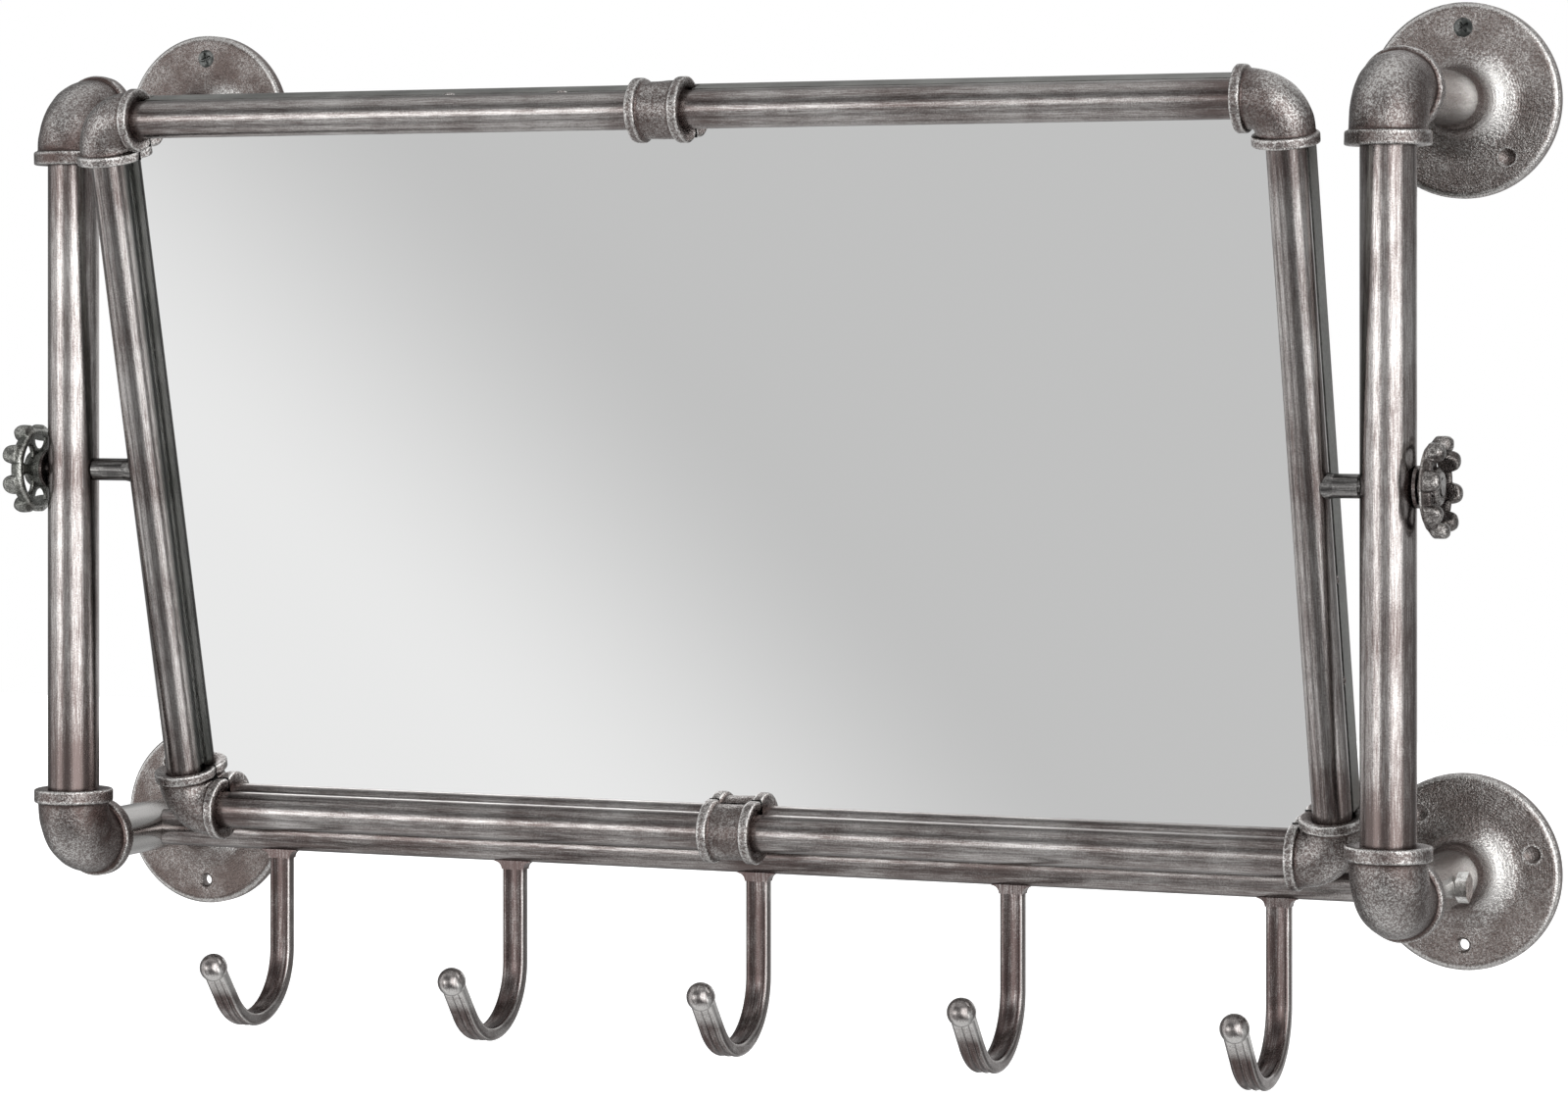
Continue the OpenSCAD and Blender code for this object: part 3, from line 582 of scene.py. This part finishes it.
# %% Outlines
def rounded(corners, fillet, steps=5):
    """A polyline with each inner corner cut back by fillet (or half its side) and bridged by the
    quadratic curve p(t) = (1-t)^2 a + 2t(1-t) corner + t^2 b."""
    corners = np.array(corners, float)
    points = [corners[:1]]
    t = np.linspace(0, 1, steps)[:, None]
    for before, corner, after in zip(corners, corners[1:], corners[2:]):
        back, ahead = before - corner, after - corner
        reach = min(fillet, 0.45 * np.linalg.norm(back), 0.45 * np.linalg.norm(ahead))
        a, b = corner + back / np.linalg.norm(back) * reach, corner + ahead / np.linalg.norm(ahead) * reach
        points.append((1 - t) ** 2 * a + 2 * t * (1 - t) * corner + t ** 2 * b)
    return np.concatenate([*points, corners[-1:]])


def filled(line, longest):
    """The polyline with points added so that no piece of it is longer than longest."""
    parts = [np.linspace(a, b, max(1, math.ceil(np.linalg.norm(b - a) / longest)), endpoint=False)
             for a, b in zip(line, line[1:])]
    return np.concatenate([*parts, line[-1:]])


def full_turn(count):
    """Angles once round, without the last, which would be the first again."""
    return np.linspace(0, 2 * math.pi, count, endpoint=False)


def lumps(points, size, seed):
    """Smooth noise from -1 to 1: random values at the corners of cells of this size, blended with
    w = t * t * (3 - 2t) along each axis."""
    cells = 32
    table = np.random.default_rng(seed).uniform(-1, 1, (cells, cells, cells))
    cell = np.asarray(points) / size
    base = np.floor(cell).astype(int)
    t = cell - base
    w = t * t * (3 - 2 * t)
    total = np.zeros(cell.shape[:-1])
    for corner in np.ndindex(2, 2, 2):
        share = np.prod(np.where(np.array(corner) == 1, w, 1 - w), axis=-1)
        total += share * table[tuple((base + corner)[..., k] % cells for k in range(3))]
    return total


print("outlines and noise ready")

# %% Skins
def grid_faces(index, loop):
    """Faces of four between neighbours in a grid of point numbers. Columns go round, and rows as
    well where loop is set."""
    last = len(index) if loop else len(index) - 1
    a, b = index[:last], np.roll(index, -1, 0)[:last]
    return np.stack([a, np.roll(a, -1, 1), np.roll(b, -1, 1), b], -1).reshape(-1, 4)


def new_piece(name, points, faces, metal, values):
    """A smooth mesh object with one finish, and with values stored at its points."""
    mesh = bpy.data.meshes.new(name)
    mesh.from_pydata(points.tolist(), [], faces)
    mesh.polygons.foreach_set("use_smooth", np.ones(len(faces), bool))
    for label, value in values.items():
        mesh.attributes.new(label, "FLOAT", "POINT").data.foreach_set("value", value)
    mesh.materials.append(metal)
    piece = bpy.data.objects.new(name, mesh)
    bpy.context.scene.collection.objects.link(piece)
    return piece


def skin(name, grid, body, metal, values=None, poles=None):
    """A closed piece from a grid of points, columns going round. The last row joins the first, or
    poles gives the two points that close the ends. Faces are turned outward by the sign of the
    enclosed volume, sum of a . (b x c) / 6."""
    rows, columns = grid.shape[:2]
    index = np.arange(rows * columns).reshape(rows, columns)
    faces = grid_faces(index, poles is None).tolist()
    points = grid.reshape(-1, 3)
    if poles is not None:
        points = np.concatenate([points, np.array(poles, float)])
        first, final = rows * columns, rows * columns + 1
        faces += np.stack([np.full(columns, first), np.roll(index[0], -1), index[0]], -1).tolist()
        faces += np.stack([np.full(columns, final), index[-1], np.roll(index[-1], -1)], -1).tolist()
    p, q, r = np.moveaxis(points[np.array([face[:3] for face in faces])], 1, 0)
    if np.einsum("ij,ij->", p, np.cross(q, r)) < 0:
        faces = [face[::-1] for face in faces]
    stored = {}
    for label, value in (values or {}).items():
        stored[label] = np.zeros(len(points))
        stored[label][:rows * columns] = np.broadcast_to(value, (rows, columns)).ravel()
    piece = new_piece(name, points, faces, metal, stored)
    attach(piece, body)
    return piece


print("skins ready")

# %% [markdown]
# ## Fittings
# An elbow's centre line is a straight leg, a quarter circle and a second leg. A coupling's is one
# straight leg. Both have a bead at each mouth, a shallow dark step inside it where the pipe goes in,
# and a bore. The wear that the finish reads is highest on the bead's two edges, and on an elbow also
# on the outside of the bend, where hands and packing rub it.

# %% Wall of a fitting
def fitting_profile(length, sizes, edge):
    """(s, r) pairs once round the wall of a fitting: out over the beads, back through the bore. s runs
    along the centre line from mouth to mouth, r is the distance from it."""
    body_r, bead_r, bead_w, pipe_r, bore_r, socket = sizes
    lip, seat = 0.0016, pipe_r + 0.0001
    mouth = [(lip, pipe_r + 0.00012), (0.0004, pipe_r + 0.40 * (bead_r - pipe_r)), (0.0, bead_r - edge),
             (0.35 * edge, bead_r), (bead_w, bead_r), (bead_w + 0.0006, body_r)]
    other = [(length - s, r) for s, r in mouth[::-1]]
    inner = np.array([(length - lip, seat), (length - socket, seat), (length - socket, bore_r),
                      (socket, bore_r), (socket, seat)])
    return np.concatenate([filled(rounded(mouth + other, edge), 0.0009), filled(inner, 0.003)]).T


def fitting_values(s, length, r, body_r, bead_r, bead_w):
    """rub: 1 on the bead's edges and a sixth of that between them. dull: along the foot of the bead,
    and in the mouth, growing towards the pipe."""
    end = np.minimum(s, length - s)
    top = np.clip((r - body_r) / (bead_r - body_r), 0, 1) ** 2
    outer_edge = 1.3 * np.exp(-((end - 0.0004) / 0.0007) ** 2)
    inner_edge = 1.1 * np.exp(-((end - bead_w + 0.0004) / 0.0006) ** 2)
    foot = np.exp(-((end - bead_w - 0.0008) / 0.0010) ** 2) * (r < body_r + 0.0008)
    hollow = np.clip((body_r - 0.0004 - r) / 0.0042, 0, 1) ** 1.6
    return (np.clip((outer_edge + inner_edge + 0.16) * top, 0, 1),
            np.clip(0.75 * foot + 0.9 * hollow, 0, 1))


def as_cast(grid, ring, s, r, length, sizes, seed, coarse, fine, seam=0.0, crown=0.0):
    """The grid moved along ring by the swell of a casting, and its rub and dull values. coarse and
    fine are the (size, height) of its lumps, drawn in so that they stay inside the solid's outline.
    seam is the height of the seam, and crown the rub of the body between the beads."""
    body_r, bead_r, bead_w, pipe_r = sizes[:4]
    free = np.clip((r - pipe_r - 0.0008) / 0.002, 0, 1)[:, None]
    drawn_in = 0.00030
    swell = lumps(grid, coarse[0], seed) * coarse[1] + lumps(grid, fine[0], seed + 1) * fine[1] - drawn_in
    grid = grid + (free * (swell + seam))[..., None] * ring
    rim, dull = fitting_values(s, length, r, body_r, bead_r, bead_w)
    rub = rim[:, None] * (0.75 + 0.45 * lumps(grid, 0.006, seed + 2))
    rub = rub + crown * (r > body_r - 0.0005)[:, None]
    return grid, {"rub": np.clip(rub, 0, 1), "dull": dull[:, None]}


ROUND = 112                                      # points round a fitting
POST_BEND, FRAME_BEND = 19.4 * MM, 15.0 * MM     # radius of an elbow's centre line
POST_EDGE, FRAME_EDGE = 1.5 * MM, 1.2 * MM       # rounding of a bead's edges
# body radius, bead radius, bead width, pipe radius, bore radius, depth of socket
POST_SIZES = np.array([18.7, 20.8, 7.0, 13.35, 10.45, 13.0]) * MM
FRAME_SIZES = np.array([14.4, 16.3, 5.0, 9.525, 7.925, 11.0]) * MM
print("fitting bodies of radius", POST_SIZES[0], "and", FRAME_SIZES[0])

# %% Elbows
CORNERS = [(-1, 1, "ul"), (1, 1, "ur"), (-1, -1, "ll"), (1, -1, "lr")]


def make_elbow(node, body, slot_name, corner, leg_a, leg_b, bend, reach, sizes, seed, edge):
    """Centre line in the plane of the legs: (reach - s, 0), then (bend - bend sin f, bend - bend cos f)
    for f from 0 to 90 degrees, then (0, s - ...); the section lies across it."""
    leg, arc = reach - bend, bend * math.pi / 2
    length = 2 * leg + arc
    s, r = fitting_profile(length, sizes, edge)
    f = np.clip((s - leg) / bend, 0, math.pi / 2)
    a = np.where(s < leg, reach - s, bend - bend * np.sin(f))
    b = np.where(s > leg + arc, bend + (s - leg - arc), bend - bend * np.cos(f))
    around = full_turn(ROUND)
    side = np.cross(leg_a, leg_b)
    out = -np.sin(f)[:, None] * leg_a - np.cos(f)[:, None] * leg_b
    ring = np.cos(around)[None, :, None] * out[:, None] + np.sin(around)[None, :, None] * side
    centre = corner + a[:, None] * leg_a + b[:, None] * leg_b
    grid = centre[:, None] + r[:, None, None] * ring
    seam = np.exp(-(np.abs(np.sin(around)) - 1) ** 2 / 0.0006) * 0.00016
    crown = 0.55 * np.clip(np.cos(around), 0, 1) ** 2 * np.sin(f * 2)[:, None]
    grid, values = as_cast(grid, ring, s, r, length, sizes, seed, (0.011, 0.00030), (0.0042, 0.00012),
                           seam, crown)
    piece = skin(node + "_cast", grid, body, fittings[slot_name], values)
    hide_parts(node)


ALONG_POST, TO_WALL = np.array([0, 0, 1.0]), np.array([0, 1.0, 0])
for number, (side, level, suffix) in enumerate(CORNERS):
    make_elbow("post_elbow_" + suffix, "wall_frame", "post_fitting",
               np.array([side * POST_X, -STANDOFF, level * ARM_Z]), -level * ALONG_POST, TO_WALL,
               POST_BEND, POST_REACH, POST_SIZES, 10 + 7 * number, POST_EDGE)
for number, (side, level, suffix) in enumerate(CORNERS):
    make_elbow("frame_elbow_" + suffix, "mirror_frame", "frame_fitting",
               on_frame(side * FRAME_W / 2, 0, level * FRAME_H / 2), -level * UP, -side * ACROSS,
               FRAME_BEND, FRAME_REACH, FRAME_SIZES, 60 + 7 * number, FRAME_EDGE)

# %% Couplings
def make_coupling(node, level, seed):
    """A straight fitting: the section is carried along x from -half to +half."""
    s, r = fitting_profile(COUPLING_LENGTH, FRAME_SIZES, FRAME_EDGE)
    around = full_turn(ROUND)
    ring = np.cos(around)[:, None] * UP - np.sin(around)[:, None] * BEHIND
    centre = on_frame(0, 0, level * FRAME_H / 2) + (s - COUPLING_LENGTH / 2)[:, None] * ACROSS
    grid = centre[:, None] + r[:, None, None] * ring
    grid, values = as_cast(grid, ring, s, r, COUPLING_LENGTH, FRAME_SIZES, seed, (0.009, 0.00028),
                           (0.0035, 0.00012))
    piece = skin(node + "_cast", grid, "mirror_frame", fittings["frame_fitting"], values)
    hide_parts(node)


make_coupling("coupling_top", 1, 101)
make_coupling("coupling_bottom", -1, 111)

# %% [markdown]
# ## Hub necks
# On the object the hub of a wall flange runs out onto the arm without a step, filled by paint and
# weld. The solid ends in a flat lip, which would catch a bright ring, so a neck is turned over it: a
# closed profile carried round the arm, whose outside falls from the hub's radius to the pipe's.

# %% Necks
def make_neck(name, side, level):
    """Profile of (radius, distance from the wall), in mm, carried round the arm's axis along y."""
    outer = rounded([(15.20, 20.6), (15.36, 22.4), (14.9, 24.2), (14.0, 26.4), (13.48, 29.0)], 1.2)
    inner = np.array([(13.38, 29.0), (13.38, 23.06), (15.16, 23.06)])
    r, h = np.concatenate([filled(outer, 0.5), filled(inner, 1.0)]).T[..., None] * MM
    around = full_turn(96)
    grid = np.stack([side * POST_X + r * np.sin(around), -h + 0 * around,
                     level * ARM_Z + r * np.cos(around)], -1)
    skin(name, grid, "wall_frame", flange_metal)


for side, level, suffix in CORNERS:
    make_neck("hub_neck_" + suffix, side, level)
print("four hub necks")

# %% [markdown]
# ## Handwheels
# A wheel is one casting: a wavy ring with eight thumb knobs, a hub and six spokes between them with
# rounded windows. The ring is a closed section carried round the stud. Where a knob stands, the
# section swells outward and forward by the height of a circle over its chord, so that ring and knob
# flow into each other as they do in a mould. The two wheels are the same casting with different luck
# under the brush: the left one has stayed dark gunmetal, the right one is brown with bright knobs.

# %% Section of a wheel's ring
KNOBS, SPOKES = 8, 6


def ring_rows(angle):
    """The ring's section at each angle round the wheel, as (radius, height) in metres above the web's
    back. t is the distance from the nearest knob's middle along the ring, and the knob's swell k is
    sqrt(1 - (t / 4.7)^2), of which 0.35 is eased by k^2 (3 - 2k). The outer wall stands at 21.3 + 2.7 k
    and the front edge at 6.2 + 4.7 k, in mm."""
    pitch = 2 * math.pi / KNOBS
    mean_r, knob_half = 19.5, 4.7
    t = (np.mod(angle + pitch / 2, pitch) - pitch / 2) * mean_r
    k = np.sqrt(np.clip(1 - (t / knob_half) ** 2, 0, 1))
    k = k * k * (3 - 2 * k) * 0.35 + k * 0.65
    zero = np.zeros_like(k)
    outer, front, inner = 21.3 + 2.7 * k, 6.2 + 4.7 * k, 17.6 - 0.5 * k
    section = [(inner, zero + 0.9), (17.9 + zero, zero + 0.1), (19.2 + zero, zero),
               (20.0 + 0.4 * k, 0.5 + zero), (20.6 + 0.9 * k, 1.5 + zero),
               (outer - 0.35 * k, 2.6 + 0.4 * k), (outer, 3.6 + 1.2 * k), (outer, front - 2.6),
               (outer - 0.45 - 0.3 * k, front - 1.0), (outer - 1.3 - 0.7 * k, front - 0.15),
               (inner + 1.3 + 0.6 * k, front - 0.1), (inner + 0.4, front - 0.9), (inner, front - 2.4),
               (inner, 3.4 + zero)]
    return np.stack([np.stack(pair, -1) for pair in section], 1) * MM


def smoothed(rows):
    """Each closed section with points put between its own, p = (-a + 9b + 9c - d) / 16, which keeps
    the old points and rounds the corners between them."""
    before, here, after, beyond = (np.roll(rows, shift, 1) for shift in (1, 0, -1, -2))
    middle = (-before + 9 * here + 9 * after - beyond) / 16
    return np.stack([here, middle], 2).reshape(rows.shape[0], -1, rows.shape[2])


print("ring section of", ring_rows(np.zeros(1)).shape[1], "corners")

# %% Wheels
def wheel_iron(name, dark, light, rough, cover):
    return cast_iron(name, dark=dark, light=light, rough=rough, cover=cover, depth=0.6 * MM, lump=520,
                     fine=1300)


def island(shells, grid, value, capped=False):
    """Adds (points, faces, values) of one closed grid to the list of shells. Its ends join each other,
    or are closed by flat caps. Faces are turned outward as in skin."""
    rows, columns = grid.shape[:2]
    index = np.arange(rows * columns).reshape(rows, columns)
    faces = grid_faces(index, not capped)
    points = grid.reshape(-1, 3)
    a, b, c, d = np.moveaxis(points[faces], 1, 0)
    inward = np.einsum("ij,ij->", a, np.cross(b, c)) + np.einsum("ij,ij->", a, np.cross(c, d)) < 0
    faces = (faces[:, ::-1] if inward else faces).tolist()
    if capped:
        ends = [index[0].tolist(), index[-1, ::-1].tolist()]
        faces += ends if inward else [end[::-1] for end in ends]
    start = sum(len(shell[0]) for shell in shells)
    shells.append((points, [[v + start for v in face] for face in faces],
                   np.broadcast_to(value, (rows, columns)).ravel()))


def spoke_grid(place, middle):
    """Half width, in mm at each distance from the stud: 2.2, plus 2.4 where the windows end near the
    hub and 3.2 at the ring. The section is a rounded rectangle, |cos|^0.7 wide and |sin|^0.7 tall."""
    run, across = np.linspace(6.6, 18.0, 30)[:, None], full_turn(24)
    half = 2.2 + 2.4 * np.exp(-np.abs(run - 9.6) / 1.4) + 3.2 * np.exp(-(17.6 - run) / 1.4)
    deep = 1.25 + 0.5 * np.exp(-(run - 6.9) / 2.0)
    wide, tall = (np.sign(wave) * np.abs(wave) ** 0.7 for wave in (np.cos(across), np.sin(across)))
    off = half * wide
    return place(np.hypot(run, off) * MM, middle + np.arctan2(off, run), (1.25 + deep * tall) * MM)


def make_wheel(node, body, side, turn, metal):
    """Local axes: height runs outward along the stud, angle 0 points straight up the wall."""
    low_corner, high_corner = (np.array(c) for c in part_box(node))
    web = (low_corner if side > 0 else high_corner)[0] + side * 4.1 * MM

    def place(radius, angle, height):
        x, y = web + side * height, PIVOT[1] - radius * np.sin(angle + turn)
        return np.stack(np.broadcast_arrays(x, y, PIVOT[2] + radius * np.cos(angle + turn)), -1)

    shells = []
    angle = full_turn(400)
    radius, height = np.moveaxis(smoothed(smoothed(ring_rows(angle + math.pi / KNOBS))), -1, 0)
    corner = np.arange(radius.shape[1]) / 4      # number of the section's corner at each column
    back_edge = np.exp(-((corner - 3.4) / 0.55) ** 2) * 0.95
    knob = np.clip((radius / MM - 21.6) / 1.6, 0, 1) * 0.30 + np.clip((height / MM - 8.5) / 2, 0, 1) * 0.15
    ring = place(radius, angle[:, None], height)
    island(shells, ring + lumps(ring, 0.004, 5)[..., None] * 0.00010, np.clip(back_edge + knob, 0, 1))
    for spoke in range(SPOKES):
        island(shells, spoke_grid(place, (spoke + 0.5) * 2 * math.pi / SPOKES), 0.06, capped=True)
    hub = rounded([(4.25, 0.2), (4.25, -3.9), (4.9, -4.1), (8.0, -4.1), (9.0, -3.4), (9.8, -0.6),
                   (9.9, 2.4), (9.0, 5.3), (7.4, 6.35), (4.9, 6.4), (4.25, 6.1), (4.25, 0.2)], 0.5)[:-1]
    radius, height = filled(hub, 0.5).T * MM
    front_edge = 0.25 * np.exp(-((height / MM - 6.2) / 0.8) ** 2)
    island(shells, place(radius, full_turn(96)[:, None], height), front_edge)

    points, faces, values = zip(*shells)
    piece = new_piece(node + "_cast", np.concatenate(points), sum(faces, []), metal,
                      {"rub": np.concatenate(values)})
    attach(piece, body)
    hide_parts(node)
    return piece


gunmetal = wheel_iron("wheel_gunmetal", (0.082, 0.085, 0.076), (0.52, 0.52, 0.49), 0.28, 0.0)
brown_iron = wheel_iron("wheel_brown", (0.066, 0.054, 0.050), (0.62, 0.60, 0.58), 0.19, -0.03)
wheel = make_wheel("handwheel_left", "wheel_left", -1, 0.0, gunmetal)
make_wheel("handwheel_right", "wheel_right", 1, math.radians(13), brown_iron)
print("wheel faces:", len(wheel.data.polygons))

# %% [markdown]
# ## Wall screws
# Black countersunk screws fill the holes of the two upper flanges. A screw is a surface of
# revolution whose head is pressed in by a cross. The cross is deepest along two arms, and its depth
# falls off smoothly to their sides and ends.

# %% Screws
screw_black, finish = new_finish("screw_black")
here = finish.place()
grain = finish.noise(here, 1500, 3, 0.6)
cloud = finish.noise(here, 300, 3, 0.6)
tint = finish.mix((0.045, 0.048, 0.046), (0.19, 0.195, 0.19), cloud.step(0.4, 0.7))
surface(finish, Base_Color=tint, Metallic=0.9, Roughness=0.42 + (grain - 0.5) * 0.2,
        Normal=finish.bump(grain, 0.3, 0.1 * MM))
HEAD_Y, CROSS_DEPTH = -6.25 * MM, 1.1 * MM


def make_screw(name, x, z, turn):
    """Rows run from the middle of the head out, down the cone and along the shank. The cross lowers
    the head by depth * exp(-(off / 0.6 mm)^4) * exp(-(r / 2.8 mm)^6), off = distance from an arm."""
    profile = rounded([(0.0002, 0.0), (0.0036, 0.0), (0.0051, -0.0003), (0.0027, -0.0017),
                       (0.0024, -0.0021), (0.0024, -0.0056), (0.0016, -0.0059)], 0.0003)
    around = full_turn(96)
    r, height = filled(profile, 0.00012).T[..., None]
    across, along = r * np.cos(around - turn), r * np.sin(around - turn)
    off = np.minimum(np.abs(across), np.abs(along))
    cross = np.exp(-(off / 0.0006) ** 4) * np.exp(-(r / 0.0028) ** 6) * (height > -0.0003)
    high = height - CROSS_DEPTH * cross
    grid = np.stack([x + r * np.cos(around), HEAD_Y - high, z + r * np.sin(around)], -1)
    skin(name, grid, "wall_frame", screw_black,
         poles=[(x, HEAD_Y + CROSS_DEPTH, z), (x, -0.1 * MM, z)])


make_screw("wall_screw_left", -POST_X, ARM_Z + SCREW_CIRCLE, math.radians(20))
make_screw("wall_screw_right", POST_X, ARM_Z + SCREW_CIRCLE, math.radians(38))
print("two wall screws")

# %% [markdown]
# ## Tack welds
# The tray's walls are tacked to the tubes by short beads, seen in the dark slit between them. Each is
# a long low lump with ripples across it, as a puddle leaves when it freezes.

# %% Tack welds
WALL_Y, WALL_X, WALL_Z = 5.2 * MM, 321.8 * MM, 194 * MM   # where the tray's walls meet the tubes


def make_weld(name, where, along, length):
    """A closed ridge: half-width w = 0.95 mm * sqrt(1 - t^2) with ripples, t from -1 to 1."""
    t = np.linspace(-0.985, 0.985, 41)[:, None, None]
    around = full_turn(40)[:, None]
    across = np.cross(along, BEHIND)
    deep = np.cross(along, across)
    width = 0.00095 * np.sqrt(1 - t ** 2) * (1 + 0.10 * np.sin(t * 19))
    grid = where + t * length / 2 * along
    grid = grid + width * (np.cos(around) * across + 0.8 * np.sin(around) * deep)
    skin(name, grid, "mirror_frame", fittings["frame_fitting"], {"rub": 0.25, "dull": 0.0},
         poles=[where - along * length / 2, where + along * length / 2])


for number, z in enumerate((-47.5, -97.5)):
    make_weld(f"tack_weld_side_{number + 1}", on_frame(WALL_X, WALL_Y, z * MM), UP, 5 * MM)
for number, x in enumerate((-117, -55.5)):
    make_weld(f"tack_weld_top_{number + 1}", on_frame(x * MM, WALL_Y, WALL_Z), ACROSS, 6 * MM)
print("four tack welds")

# %% [markdown]
# ## Giving each solid its finish
# The solids that stay take their finish by slot, and by name where one slot serves pieces that are
# rubbed in different directions.

# %% Finishes on the solids
slots = {"flange": flange_metal, "pipe": post_metal, **fittings, "rail": rail_metal,
         "bolt": bolt_metal, "hook": hook_metal, "frame_tube": cross_metal,
         "mirror": mirror_metal, "board": board_fibre, "tray": tray_sheet, "stud": stud_metal,
         "washer": washer_metal, "handwheel": brown_iron}
by_name = {"arm_": arm_metal, "side_tube_left": side_left_metal, "side_tube_right": side_right_metal}
for name, node in nodes.items():
    special = next((metal for start, metal in by_name.items() if name.startswith(start)), None)
    for slot in node.material_slots:
        slot.material = special or slots[slot.material.name]
print("finished solids:", len(nodes))
